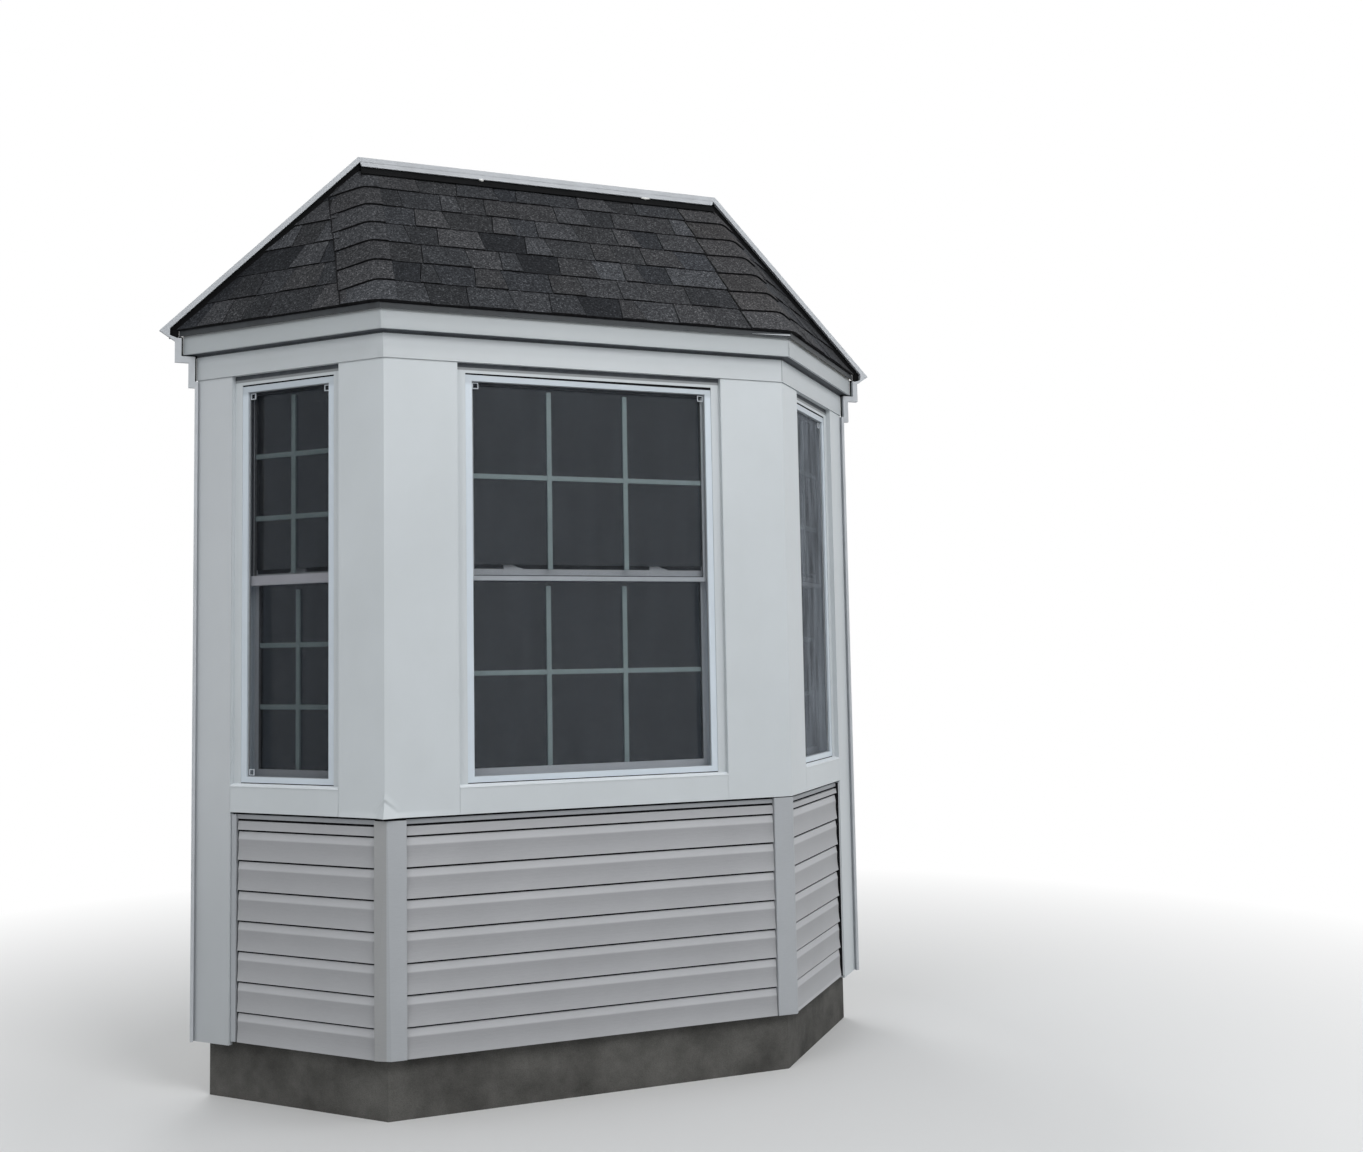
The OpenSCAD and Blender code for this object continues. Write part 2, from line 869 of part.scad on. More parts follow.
module insect_screen(w) {
    margin = (track_wall + flange_w) / 2 + seat_fit;
    y0 = screen_y + (screen_pocket - screen_t) / 2;
    z0 = sill_t + margin;
    z1 = sill_t + frame_h - margin;
    screen_w = frame_w(w) - 2 * margin;
    difference() {
        slab(screen_w, y0, y0 + screen_t, z0, z1);
        for (hollow = [[-far, (screen_t - mesh_t) / 2], [(screen_t + mesh_t) / 2, far]])
            slab(screen_w - 2 * screen_bar, y0 + hollow[0], y0 + hollow[1], z0 + screen_bar, z1 - screen_bar);
    }
}
module insect_screens() {
    color("darkslategray") {
        on_front() insect_screen(front_window_w);
        on_right() insect_screen(side_window_w);
        on_left() insect_screen(side_window_w);
    }
}

foundation();
sill_plate();
floor_joists();
subfloor();
floor_boards();
knee_wall_left();
knee_wall_front();
knee_wall_right();
corner_post_left();
corner_post_right();
end_post_left();
end_post_right();
header();
lining();
baseboard();
ceiling();
ceiling_joists();
ridge_board();
common_rafters();
hip_rafters();
jack_rafters();
wall_rafters();
roof_deck();
shingles_left();
shingles_front();
shingles_right();
drip_edge();
wall_flashing();
wall_channel();
siding_left();
siding_front();
siding_right();
siding_corners();
siding_channels();
wall_trim();
corner_panels();
sill_band();
frieze();
fascia();
window_jambs();
window_casings();
frame_left();
frame_front();
frame_right();
upper_sash_left();
upper_sash_front();
upper_sash_right();
lower_sash_left();
lower_sash_front();
lower_sash_right();
glass();
insect_screens();
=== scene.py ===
"""Looks of a three-sided bay window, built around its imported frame."""
import json
import math
import random

import bmesh
import bpy
import numpy as np
from mathutils import Matrix, Vector, noise


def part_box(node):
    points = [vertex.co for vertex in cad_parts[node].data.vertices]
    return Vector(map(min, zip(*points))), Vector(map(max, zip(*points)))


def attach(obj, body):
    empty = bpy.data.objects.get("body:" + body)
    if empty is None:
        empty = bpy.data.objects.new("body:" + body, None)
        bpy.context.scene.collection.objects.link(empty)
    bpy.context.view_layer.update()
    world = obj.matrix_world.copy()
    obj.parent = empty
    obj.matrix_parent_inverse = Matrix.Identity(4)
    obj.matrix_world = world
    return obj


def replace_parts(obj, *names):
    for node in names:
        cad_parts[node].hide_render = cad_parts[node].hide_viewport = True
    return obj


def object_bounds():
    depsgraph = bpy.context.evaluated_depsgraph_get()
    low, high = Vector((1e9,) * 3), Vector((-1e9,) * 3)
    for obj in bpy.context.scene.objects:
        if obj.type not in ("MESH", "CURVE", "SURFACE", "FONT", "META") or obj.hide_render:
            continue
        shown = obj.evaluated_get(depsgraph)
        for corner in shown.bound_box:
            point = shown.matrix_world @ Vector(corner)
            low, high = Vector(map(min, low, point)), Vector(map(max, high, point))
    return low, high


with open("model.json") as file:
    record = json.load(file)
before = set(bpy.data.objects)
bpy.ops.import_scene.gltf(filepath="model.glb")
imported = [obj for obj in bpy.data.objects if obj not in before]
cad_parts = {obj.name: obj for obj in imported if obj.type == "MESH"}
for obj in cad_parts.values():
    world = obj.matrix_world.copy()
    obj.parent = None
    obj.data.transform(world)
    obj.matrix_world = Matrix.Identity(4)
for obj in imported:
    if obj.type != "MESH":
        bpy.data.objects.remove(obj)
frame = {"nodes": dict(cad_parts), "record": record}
cad_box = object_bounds()
rng = random.Random(11)

# Sizes that the frame gives
fascia_low, fascia_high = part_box("fascia")
band_low, band_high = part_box("sill_band")
panels_low, panels_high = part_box("corner_panels")
flashing_low, flashing_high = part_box("wall_flashing")
wall_y, trim_y, front_y = fascia_high.y, panels_low.y, cad_box[0][1]
projection = wall_y - trim_y
half_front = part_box("wall_trim")[1].x - projection
siding_z, band_z, sill_z, head_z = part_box("siding_front")[0].z, band_low.z, band_high.z, panels_high.z
fascia_z, fascia_top = fascia_low.z, fascia_high.z
frame_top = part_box("frame_front")[1].z
eave_z, ridge_z = flashing_low.z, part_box("shingles_front")[1].z
ridge_half, eave_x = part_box("shingles_right")[0].x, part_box("shingles_right")[1].x
eave_run = wall_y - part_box("shingles_front")[0].y

# Sizes that the frame's boxes don't give, in metres
BAY_ANGLE = math.radians(45)
MITRE, WALL_MITRE = math.tan(BAY_ANGLE / 2), 1 / math.tan(BAY_ANGLE)
COS, SIN = math.cos(BAY_ANGLE), math.sin(BAY_ANGLE)
FRIEZE_OUT, FASCIA_OUT, DRIP_OUT = 0.003, 0.040, 0.052
CHANNEL_GAP, CHANNEL_END_GAP = 0.012, 0.008
BOARD_T = 0.020
LINING_FACE = -0.134
FLANGE_W, TRACK_WALL = 0.026, 0.008
STILE_W, BOTTOM_RAIL_H, UPPER_MEETING_H, LOWER_MEETING_H = 0.027, 0.043, 0.018, 0.040
GLASS_T, GLASS_BITE = 0.018, 0.008
SCREEN_BAR = 0.010
COVER_T = 0.014
COURSE_H = 0.1143
# The lowest shingles may be modelled this far past the solids' front; they are eased back over a short run
FRONT_REACH, FRONT_EASE = 0.0016, 0.0010
# What lies on another surface stands off by HAIR, pieces that meet stay CLEAR apart, and one that runs in
# under or behind another does so by TUCK
HAIR, CLEAR, TUCK = 0.0002, 0.0005, 0.001


class Face:
    """One face of the bay: a runs along it from its start, d outward from the trim and z up.

    mitres say how far each end moves along the face for each metre outward."""

    def __init__(self, origin, along, out, length, far_mitre):
        self.origin, self.along, self.out = np.array(origin), np.array(along), np.array(out)
        self.length, self.mitres = length, (-MITRE, far_mitre)

    def at(self, a, d, z):
        p = self.origin + self.along * a + self.out * d
        return (p[0], p[1], z)

    def span(self, node):
        """Lowest and highest (a, d, z) of a CAD node in this face's own frame."""
        co = np.array([v.co for v in frame["nodes"][node].data.vertices])
        flat = co[:, :2] - self.origin
        own = np.stack([flat @ self.along, flat @ self.out, co[:, 2]], axis=1)
        return own.min(0), own.max(0)


side_len = projection / SIN
front = Face((-half_front, trim_y), (1, 0), (0, -1), 2 * half_front, MITRE)
right = Face((half_front, trim_y), (COS, SIN), (SIN, -COS), side_len, WALL_MITRE)
left = Face((-half_front, trim_y), (-COS, SIN), (-SIN, -COS), side_len, WALL_MITRE)
FACES = {"front": front, "right": right, "left": left}


def within(p):
    """The point p kept in front of the wall, and inside the solids' foremost edge."""
    y = min(p[1], wall_y)
    past = y - (front_y - FRONT_REACH)
    if past < FRONT_REACH + FRONT_EASE:
        y = front_y + past * FRONT_EASE / (FRONT_REACH + FRONT_EASE)
    return (p[0], y, p[2])


def mirrored(p, flip):
    """The point p of the right side, or its twin on the left side."""
    return (-p[0] if flip else p[0], p[1], p[2])


def inset(span, by):
    """A pair of places moved toward each other."""
    return (span[0] + by, span[1] - by)


def around(middle, half):
    return (middle - half, middle + half)


class Shape:
    """Vertices and faces that gather into the mesh of one piece."""

    def __init__(self):
        self.verts, self.faces = [], []

    def add(self, verts, faces):
        n = len(self.verts)
        self.verts += [tuple(v) for v in verts]
        self.faces += [[n + i for i in f] for f in faces]

    def box(self, place, a, d, z):
        """A block between pairs of coordinates; place(a, d, z) gives its points."""
        corners = [place(a[i], d[j], z[k]) for i in (0, 1) for j in (0, 1) for k in (0, 1)]
        self.add(corners, [[0, 1, 3, 2], [4, 6, 7, 5], [0, 4, 5, 1], [2, 3, 7, 6], [0, 2, 6, 4], [1, 5, 7, 3]])

    def loft(self, rings):
        """Rings of equal length joined one after another, with flat ends."""
        n, last = len(rings[0]), (len(rings) - 1) * len(rings[0])
        faces = [[i + j, i + (j + 1) % n, i + n + (j + 1) % n, i + n + j] for i in range(0, last, n) for j in range(n)]
        self.add([p for ring in rings for p in ring], faces + [list(range(n)), [last + j for j in range(n)]])

    def layer(self, top, bottom):
        """A closed sheet between two grids of points of the same size."""
        self.loft([above + below[::-1] for above, below in zip(top, bottom)])

    def bars(self, face, a, d, z, width):
        """Four bars round a rectangle of a face, the upright ones over the full height."""
        for across in ((a[0], a[0] + width), (a[1] - width, a[1])):
            self.box(face.at, across, d, z)
        for height in ((z[0], z[0] + width), (z[1] - width, z[1])):
            self.box(face.at, (a[0] + width, a[1] - width), d, height)

    def piece(self, name, material, slot, bevel=0.0, smooth=0.0):
        mesh = bpy.data.meshes.new(name)
        mesh.from_pydata([within(v) for v in self.verts], [], self.faces)
        bm = bmesh.new()
        bm.from_mesh(mesh)
        bmesh.ops.recalc_face_normals(bm, faces=bm.faces)
        bm.to_mesh(mesh)
        bm.free()
        mesh.materials.append(material)
        obj = bpy.data.objects.new(name, mesh)
        bpy.context.scene.collection.objects.link(obj)
        if bevel:
            edge = obj.modifiers.new("edges", "BEVEL")
            edge.width = bevel
            edge.segments = 2
            edge.limit_method = "ANGLE"
        if smooth:
            mesh.shade_smooth()
            mesh.set_sharp_from_angle(angle=math.radians(smooth))
        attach(obj, "root")
        return obj


def shapes(count):
    return [Shape() for _ in range(count)]


def feed(tree, socket, source):
    """Links a socket to another one, or sets its value."""
    if isinstance(source, bpy.types.NodeSocket):
        tree.links.new(source, socket)
    else:
        socket.default_value = source


def add_node(tree, kind, inputs=None, **settings):
    """A shader node with its settings, and its inputs by name or number."""
    node = tree.nodes.new("ShaderNode" + kind)
    for key, value in settings.items():
        setattr(node, key, value)
    for key, source in (inputs or {}).items():
        feed(tree, node.inputs[key], source)
    return node


class Finish:
    """A Principled material whose nodes are added by name."""

    def __init__(self, name, color, roughness, **sockets):
        self.material = bpy.data.materials.new(name)
        self.material.use_nodes = True
        self.tree = self.material.node_tree
        self.shader = self.tree.nodes["Principled BSDF"]
        self.put("Base Color", (*color, 1))
        self.put("Roughness", roughness)
        for key, value in sockets.items():
            self.put(key.replace("_", " "), value)
        self.coords = self.node("TexCoord").outputs["Object"]

    def put(self, name, source):
        feed(self.tree, self.shader.inputs[name], source)
        return self

    def node(self, kind, inputs=None, **settings):
        return add_node(self.tree, kind, inputs, **settings)

    def axis(self, name):
        """One of the object coordinates X, Y and Z."""
        return self.node("SeparateXYZ", {"Vector": self.coords}).outputs[name]

    def stretched(self, scale, turn=(0, 0, 0)):
        """Object coordinates turned and stretched."""
        return self.node("Mapping", {"Vector": self.coords, "Scale": scale, "Rotation": turn}).outputs["Vector"]

    def noise(self, scale, detail=4, roughness=0.55, vector=None):
        inputs = {"Scale": scale, "Detail": detail, "Roughness": roughness, "Vector": vector or self.coords}
        return self.node("TexNoise", inputs).outputs["Fac"]

    def cells(self, scale):
        return self.node("TexVoronoi", {"Scale": scale, "Vector": self.coords}).outputs

    def waves(self, scale, distortion, vector=None, bands="X"):
        inputs = {"Scale": scale, "Distortion": distortion, "Vector": vector or self.coords}
        return self.node("TexWave", inputs, bands_direction=bands).outputs["Fac"]

    def ramp(self, value, stops):
        """A colour ramp through (position, colour) stops; a colour may be given as one grey."""
        ramp = self.node("ValToRGB", {"Fac": value})
        elements = ramp.color_ramp.elements
        for i, (position, color) in enumerate(stops):
            element = elements[i] if i < 2 else elements.new(position)
            element.position = position
            element.color = (*(color if isinstance(color, tuple) else (color,) * 3), 1)
        return ramp.outputs["Color"]

    def tones(self, value, color, dull, bright, low=0.3, high=0.7):
        """A ramp from a duller to a brighter tone of a colour."""
        return self.ramp(value, [(low, tint(color, dull)), (high, tint(color, bright))])

    def mixed(self, a, b, amount, kind="MIX"):
        mix = self.node("Mix", {}, data_type="RGBA", blend_type=kind)
        for name, source in (("Factor", amount), ("A", a), ("B", b)):
            feed(self.tree, mix.inputs[name], source)
        return mix.outputs["Result"]

    def times(self, a, b, amount=1.0):
        return self.mixed(a, b, amount, "MULTIPLY")

    def math(self, kind, a, b=0.0):
        return self.node("Math", {0: a, 1: b}, operation=kind).outputs["Value"]

    def island(self):
        """A random number for each separate part of the mesh."""
        return self.node("NewGeometry").outputs["Random Per Island"]

    def rough(self, source, low, high):
        spread = self.node("MapRange", {"Value": source, "To Min": low, "To Max": high})
        return self.put("Roughness", spread.outputs["Result"])

    def by_height(self, body, heights):
        """The colour body made lighter or darker by height; heights holds (height, factor), the lowest first."""
        low, high = heights[0][0], heights[-1][0]
        share = self.math("DIVIDE", self.math("SUBTRACT", self.axis("Z"), low), high - low)
        stops = [((z - low) / (high - low), lightness) for z, lightness in heights]
        return self.times(body, self.ramp(share, [stops[0], stops[-1]] + stops[1:-1]))

    def color(self, source):
        return self.put("Base Color", source)

    def bump(self, source, distance, strength=1.0):
        relief = self.node("Bump", {"Distance": distance, "Strength": strength, "Height": source})
        return self.put("Normal", relief.outputs["Normal"])


def tint(color, factor):
    return tuple(min(1.0, c * factor) for c in color)


def mottled(name, color, roughness, patches, tones, grain, relief, **sockets):
    """A plain finish in soft patches. patches and grain are noises, tones the dull and the bright tone."""
    f = Finish(name, color, roughness, **sockets)
    f.color(f.tones(f.noise(*patches), color, *tones))
    return f.bump(f.noise(*grain), *relief).material


def coated_sheet(name, white, heights=()):
    """White coated aluminium sheet, faintly uneven and dusty.

    heights holds pairs of a height and how light the sheet is made there, from the lowest to the highest."""
    f = Finish(name, white, 0.42, Specular_IOR_Level=0.4)
    dust = f.noise(7, 5, vector=f.stretched((1, 1, 0.6)))
    dirt = f.ramp(dust, [(0.3, (0.97, 0.97, 0.965)), (0.6, 1)])
    body = f.times(f.tones(f.noise(2.3, 3), white, 0.97, 1.02), dirt, 0.7)
    f.color(f.by_height(body, heights) if heights else body)
    f.rough(dust, 0.38, 0.5)
    return f.bump(f.noise(9, 2), 0.0005).material


def window_vinyl():
    """White vinyl, darker along the frame heads: painted shade under the trim above them."""
    white = (0.555, 0.615, 0.672)
    f = Finish("white_vinyl", white, 0.32, Specular_IOR_Level=0.5)
    body = f.tones(f.noise(5, 4), white, 0.95, 1.02)
    f.color(f.by_height(body, ((frame_top - 0.044, 1.0), (frame_top - 0.030, 0.80))))
    f.rough(f.noise(60, 3), 0.27, 0.4)
    return f.bump(f.noise(220, 2), 0.0001, 0.5).material


# Painted light over a siding course's height: lighter where it faces up near its top, darker over the flat face below
COURSE_PAINTED_LIGHT = ((0.0, 0.95), (0.97, 1.12), (0.2, 0.91), (0.45, 0.86), (0.66, 0.85), (0.71, 1.16))
# Tint of the darker part left of a given x, and how sharply it starts
LEFT_TINT, LEFT_TINT_EDGE = (0.84, 0.82, 0.79), 400


def siding_vinyl(name, tone, course_start=None, darker_left_of=None):
    """Vinyl siding with a fine embossed grain; if its courses start at course_start, painted light makes their
    up-facing parts lighter.

    It is darker left of x = darker_left_of."""
    f = Finish(name, tone, 0.55, Specular_IOR_Level=0.3)
    grain = f.noise(38, 6, 0.65, vector=f.stretched((1, 1, 9)))
    body = f.times(f.tones(f.noise(2.4, 3), tone, 0.95, 1.03), f.ramp(grain, [(0.35, 0.93), (0.65, 1)]), 0.6)
    if course_start is not None:
        course = f.math("FRACT", f.math("DIVIDE", f.math("SUBTRACT", f.axis("Z"), course_start), COURSE_H))
        body = f.times(body, f.ramp(course, COURSE_PAINTED_LIGHT))
    if darker_left_of is not None:
        past = f.math("MULTIPLY", f.math("SUBTRACT", f.axis("X"), darker_left_of), LEFT_TINT_EDGE)
        body = f.times(body, f.ramp(f.math("ADD", past, 0.5), [(0.3, LEFT_TINT), (0.7, 1)]))
    f.color(body)
    f.rough(grain, 0.48, 0.66)
    return f.bump(grain, 0.0005, 0.8).material


def shingle_granules(name, cool, warm):
    """Mineral granules in mixed greys, a slightly different tone on each shingle."""
    f = Finish(name, cool, 0.95, Specular_IOR_Level=0.1)
    tabs = f.ramp(f.island(), [
        (0.0, tint(cool, 0.55)), (1.0, tint(cool, 1.45)),
        (0.2, tint(cool, 0.66)), (0.32, tint(cool, 0.98)), (0.55, tint(warm, 1.16)), (0.75, tint(warm, 0.82))])
    grains = f.cells(215)
    speckle = f.ramp(grains["Color"], [
        (0.15, (0.25, 0.25, 0.26)), (0.95, (3.2, 3.12, 3.05)), (0.6, 0.75), (0.8, (1.35, 1.34, 1.32))])
    clusters = f.ramp(f.noise(90, 3, 0.6), [(0.34, (0.55, 0.55, 0.56)), (0.66, (1.55, 1.54, 1.52))])
    blotches = f.ramp(f.noise(13, 5, 0.6), [(0.3, 0.86), (0.7, (1.12, 1.12, 1.11))])
    f.color(f.times(f.times(f.times(tabs, speckle, 0.75), clusters, 0.8), blotches, 0.8))
    return f.bump(f.math("ADD", grains["Distance"], f.noise(160, 3)), 0.0012, 0.8).material


def dark_metal(name, tone, roughness, gloss=0.25):
    f = Finish(name, tone, roughness, Specular_IOR_Level=gloss)
    wear = f.noise(24, 5)
    f.color(f.tones(wear, tone, 0.85, 1.3, 0.35, 0.75))
    f.rough(wear, roughness - 0.08, roughness + 0.1)
    return f.bump(f.noise(40, 3), 0.0004, 0.6).material


def parged_masonry():
    """Dark cement render with fine pits and damp stains."""
    tone = (0.085, 0.083, 0.078)
    f = Finish("parged_masonry", tone, 0.93, Specular_IOR_Level=0.2)
    sand = f.noise(260, 4)
    stained = f.tones(f.noise(5, 6, 0.62), tone, 0.6, 1.5, 0.3, 0.72)
    f.color(f.times(stained, f.ramp(sand, [(0.3, 0.75), (0.7, 1.2)]), 0.7))
    return f.bump(f.math("ADD", f.math("MULTIPLY", f.noise(22, 5), 2.5), sand), 0.0022, 0.9).material


def sawn_wood(name, pale, dark, stretch, turn=(0, 0, 0), shine=0.68):
    """Wood with growth rings drawn out along one axis and fine pores."""
    f = Finish(name, pale, shine, Specular_IOR_Level=0.3)
    vector = f.stretched(stretch, turn)
    rings = f.waves(7, 5.5, vector=vector)
    pores = f.noise(70, 6, 0.7, vector=vector)
    body = f.mixed(f.ramp(rings, [(0.15, dark), (0.8, pale)]), f.tones(pores, pale, 0.75, 1.05, 0.3, 0.65), 0.5)
    f.color(f.times(body, f.ramp(f.island(), [(0.0, 0.80), (1.0, (1.08, 1.06, 1.04))]), 0.9))
    f.rough(pores, shine - 0.1, min(1, shine + 0.12))
    return f.bump(f.math("ADD", rings, pores), 0.0006, 0.6).material


def painted_wood():
    tone = (0.80, 0.80, 0.78)
    f = Finish("painted_wood", tone, 0.38)
    brush = f.noise(50, 4, vector=f.stretched((1, 1, 7)))
    f.color(f.tones(brush, tone, 0.97, 1.01))
    return f.bump(brush, 0.0003, 0.5).material


def glass(name, tone, ripple, depth, **sockets):
    f = Finish(name, tone, 0.03, IOR=1.45, **sockets)
    return f.bump(f.noise(ripple, 2), depth, 0.2).material


def insect_mesh(name, tone, cover):
    """Woven threads with dust in streaks; cover is the share of light that one side of the sheet stops."""
    f = Finish(name, tone, 0.8, Alpha=cover, Specular_IOR_Level=0.15)
    threads = f.waves(220, 0, bands="Z")
    dust = f.noise(26, 5, 0.6, f.stretched((1, 1, 0.14)))
    f.color(f.mixed(f.tones(threads, tone, 0.8, 1.2, 0.2, 0.8), f.tones(dust, tone, 0.45, 1.7, 0.38, 0.62), 0.6))
    return f.bump(threads, 0.0002, 0.5).material


COIL_WHITE = (0.522, 0.555, 0.576)
COIL = coated_sheet("white_coil", COIL_WHITE)
WALL_COIL = coated_sheet("wall_coil", (0.495, 0.52, 0.542), heights=((0.6, 0.865), (1.24, 1.0)))
# The sill noses are a lighter copy of the white coil: painted light on their up-facing tops
LIT_SILL_COIL = coated_sheet("lit_sill_coil", (0.70, 0.735, 0.765))
# Painted light and shade on the frieze's sheet: lighter just under the fascia, where its shadow falls, and darker
# lower down
FRIEZE_COIL = coated_sheet(
    "frieze_coil", COIL_WHITE,
    heights=((head_z, 0.85), (fascia_z - 0.055, 0.89), (fascia_z - 0.030, 1.0), (fascia_z - 0.014, 1.18)))
# The fascia's sheet is a darker copy of the white coil: painted shade from the eave over it
SHADED_FASCIA_COIL = coated_sheet("shaded_fascia_coil", (0.362, 0.388, 0.403))
# Grey coil for the strips of painted shade under the heads and down the right corner
SHADE_COIL = coated_sheet("shade_coil", (0.235, 0.25, 0.26))
VINYL = window_vinyl()
# The rail vinyl is a much lighter copy of the sash vinyl: painted light on the left meeting rail, seen through the
# shaded mesh
SASH, RAIL = (
    mottled(name, white, 0.35, (7, 4), (0.93, 1.02), (220, 2), (0.0001, 0.5), Specular_IOR_Level=0.5)
    for name, white in (("sash_vinyl", (0.55, 0.585, 0.63)), ("lit_rail_vinyl", (0.84, 0.85, 0.93))))
# The courses of the right side sit higher than the others
COURSE_LIFT = {"front": 0.0, "left": 0.0, "right": 0.013}
SIDING = siding_vinyl("siding_vinyl", (0.385, 0.39, 0.405), siding_z)
# The right face's siding is a lighter copy of the same vinyl: painted light
SIDING_RIGHT = siding_vinyl("siding_vinyl_right", (0.40, 0.405, 0.42), siding_z + COURSE_LIFT["right"])
SIDING_TRIM = siding_vinyl("siding_trim_vinyl", (0.375, 0.393, 0.415))
POST_VINYL = siding_vinyl("post_vinyl", (0.372, 0.388, 0.408), darker_left_of=-half_front + 0.006)
# The lips under the sill band are a darker copy of the trim vinyl: painted shade from the band over them
SHADED_LIP_VINYL = siding_vinyl("shaded_lip_vinyl", (0.30, 0.312, 0.33))
COOL_SHINGLE = shingle_granules("shingle_cool", (0.048, 0.051, 0.057), (0.050, 0.051, 0.055))
DARK_SHINGLE = shingle_granules("shingle_dark", (0.034, 0.037, 0.043), (0.037, 0.0385, 0.042))
WARM_SHINGLE = shingle_granules("shingle_warm", (0.052, 0.053, 0.057), (0.056, 0.055, 0.057))
# Black asphalt of cut shingle edges and of the felt under them; as painted shade it also deepens the shade under the
# shingles' butts, and fills the siding's slits, the gaps over the posts and round the frames
ASPHALT_AND_SHADE = mottled(
    "asphalt_and_shade", (0.010, 0.010, 0.011), 0.95, (90, 4), (0.6, 1.5), (200, 3), (0.0006, 0.6), Specular_IOR_Level=0.05)
# The drip edge's dark tone is partly painted shade from the shingles' overhang above it
DRIP = dark_metal("drip_metal", (0.034, 0.038, 0.042), 0.55)
# Near-black flashing metal, so dark that it is also painted shade in the slots along the roof's edges, and the colour
# of the painted shade on the wall
FLASHING_AND_SHADE = dark_metal("flashing_metal_and_shade", (0.006, 0.0062, 0.0066), 0.8, 0.05)
GAP_SHADE = dark_metal("gap_shade", (0.070, 0.077, 0.087), 0.65)
CHANNEL = mottled("vinyl_channel", (0.43, 0.45, 0.475), 0.5, (11, 4), (0.9, 1.04), (60, 3), (0.0003, 0.6))
SEALANT = mottled("sealant", (0.75, 0.75, 0.73), 0.6, (90, 4), (0.8, 1.05), (200, 3), (0.0008, 0.8))
OAK = sawn_wood("oak_boards", (0.40, 0.22, 0.10), (0.24, 0.12, 0.05), (0.8, 9, 9), shine=0.3)
CLEAR_GLASS = glass("clear_glass", (0.10, 0.12, 0.13), 2.2, 0.0012, Alpha=0.03)
# The inner sheet of a unit is dark glass: painted shade of the unlit room behind it
DARK_GLASS = glass(
    "dark_glass", (0.022, 0.027, 0.033), 1.7, 0.0015, Transmission_Weight=1.0, Specular_IOR_Level=0.25)
MESH = insect_mesh("insect_mesh", (0.030, 0.034, 0.040), 0.15)
SHADED_MESH = insect_mesh("shaded_mesh", (0.012, 0.014, 0.018), 0.26)
# The right window's mesh is lighter and more opaque: real dust, with painted sheen of the threads seen edge-on
DUSTY_SHEEN_MESH = insect_mesh("dusty_sheen_mesh", (0.155, 0.172, 0.195), 0.50)
SCREEN_EDGE = mottled("screen_bar", (0.30, 0.32, 0.34), 0.45, (30, 3), (0.85, 1.1), (90, 2), (0.0002, 0.5))
GRID = mottled("grid_bar", (0.30, 0.385, 0.40), 0.4, (20, 3), (0.92, 1.04), (90, 2), (0.0002, 0.4))
SPACER = mottled(
    "spacer_metal", (0.30, 0.31, 0.32), 0.4, (90, 2), (0.8, 1.2), (300, 2), (0.0001, 0.4), Metallic=0.8)

LOOKS = {
    "foundation": parged_masonry(), "floor_boards": OAK, "inner_trim": painted_wood(), "shingles": COOL_SHINGLE,
    "lumber": sawn_wood("sawn_lumber", (0.62, 0.47, 0.29), (0.44, 0.30, 0.16), (1, 1, 8), (0, 1.57, 0)),
    "plywood": sawn_wood("plywood", (0.56, 0.41, 0.24), (0.40, 0.27, 0.14), (0.7, 6, 6)),
    "lining": mottled(
        "plaster", (0.76, 0.75, 0.71), 0.85, (3, 4), (0.96, 1.02), (130, 4), (0.0006, 0.7), Specular_IOR_Level=0.25),
    "drip_edge": DRIP, "flashing": FLASHING_AND_SHADE, "channel": CHANNEL, "siding": SIDING, "siding_trim": SIDING_TRIM,
    "trim": COIL, "window_frame": VINYL, "sash": SASH, "glass": DARK_GLASS, "screen": MESH,
}
for part in frame["record"]["subparts"]:
    node = frame["nodes"][part["node"]]
    node.data.materials.clear()
    node.data.materials.append(LOOKS[part["material_slot"]])

# Roof surface: t runs from 0 at the eave to 1 at the ridge
ROOF_RISE = ridge_z - eave_z
FRONT_SLOPE_LEN = math.hypot(eave_run, ROOF_RISE)
eave_half = half_front + (eave_run - projection) * MITRE
side_run = eave_run * COS + (eave_half - ridge_half) * SIN
FRONT_TILT, SIDE_TILT = math.atan2(ROOF_RISE, eave_run), math.atan2(ROOF_RISE, side_run)
FRONT_NORMAL = np.array([0, -math.sin(FRONT_TILT), math.cos(FRONT_TILT)])
SIDE_NORMAL = np.array([SIN * math.sin(SIDE_TILT), -COS * math.sin(SIDE_TILT), math.cos(SIDE_TILT)])
# Slope of the roof's edges as they show on the wall
WALL_SLOPE = math.atan2(ROOF_RISE, eave_x - ridge_half)
HIP_ROUND = 0.042
WALL_STOP = 0.0035
TOP_T = 1 - WALL_STOP / eave_run
EXPOSURE = 0.143
FRONT_STEP, SIDE_STEP = EXPOSURE / FRONT_SLOPE_LEN, EXPOSURE / math.hypot(side_run, ROOF_RISE)
# How far a course runs on under the next one
COURSE_LAP = 0.03
# Heights of the shingles' butts over the slope: raised tabs, low tabs and shingles wrapped over a hip
TOOTH_BUTT, BASE_BUTT, WRAP_BUTT = -0.0010, -0.0040, 0.0015
GAP = 0.0034
TOOTH_LEAN = (0.006, 0.020)
# Where the wrapped shingles are cut off beside the left and the right hip, and the slot there
CUT_LEFT, CUT_RIGHT = 0.175, 0.185
CUT_SLOT, CUT_SHADE, CUT_WANDER = 0.007, 0.004, 0.003
EDGE_REACH, EDGE_SINK, EDGE_FOOT = 0.0009, 0.0004, 0.0035
# Lifts of a shingle's head, and of its underside at the butt and at the head
HEAD_LIFT, UNDER_LIFTS = 0.006 - COVER_T, (0.0055 - COVER_T, 0.001 - COVER_T)
# A lowered shingle is lowered by this share less at its head
DROP_EASE = 0.35
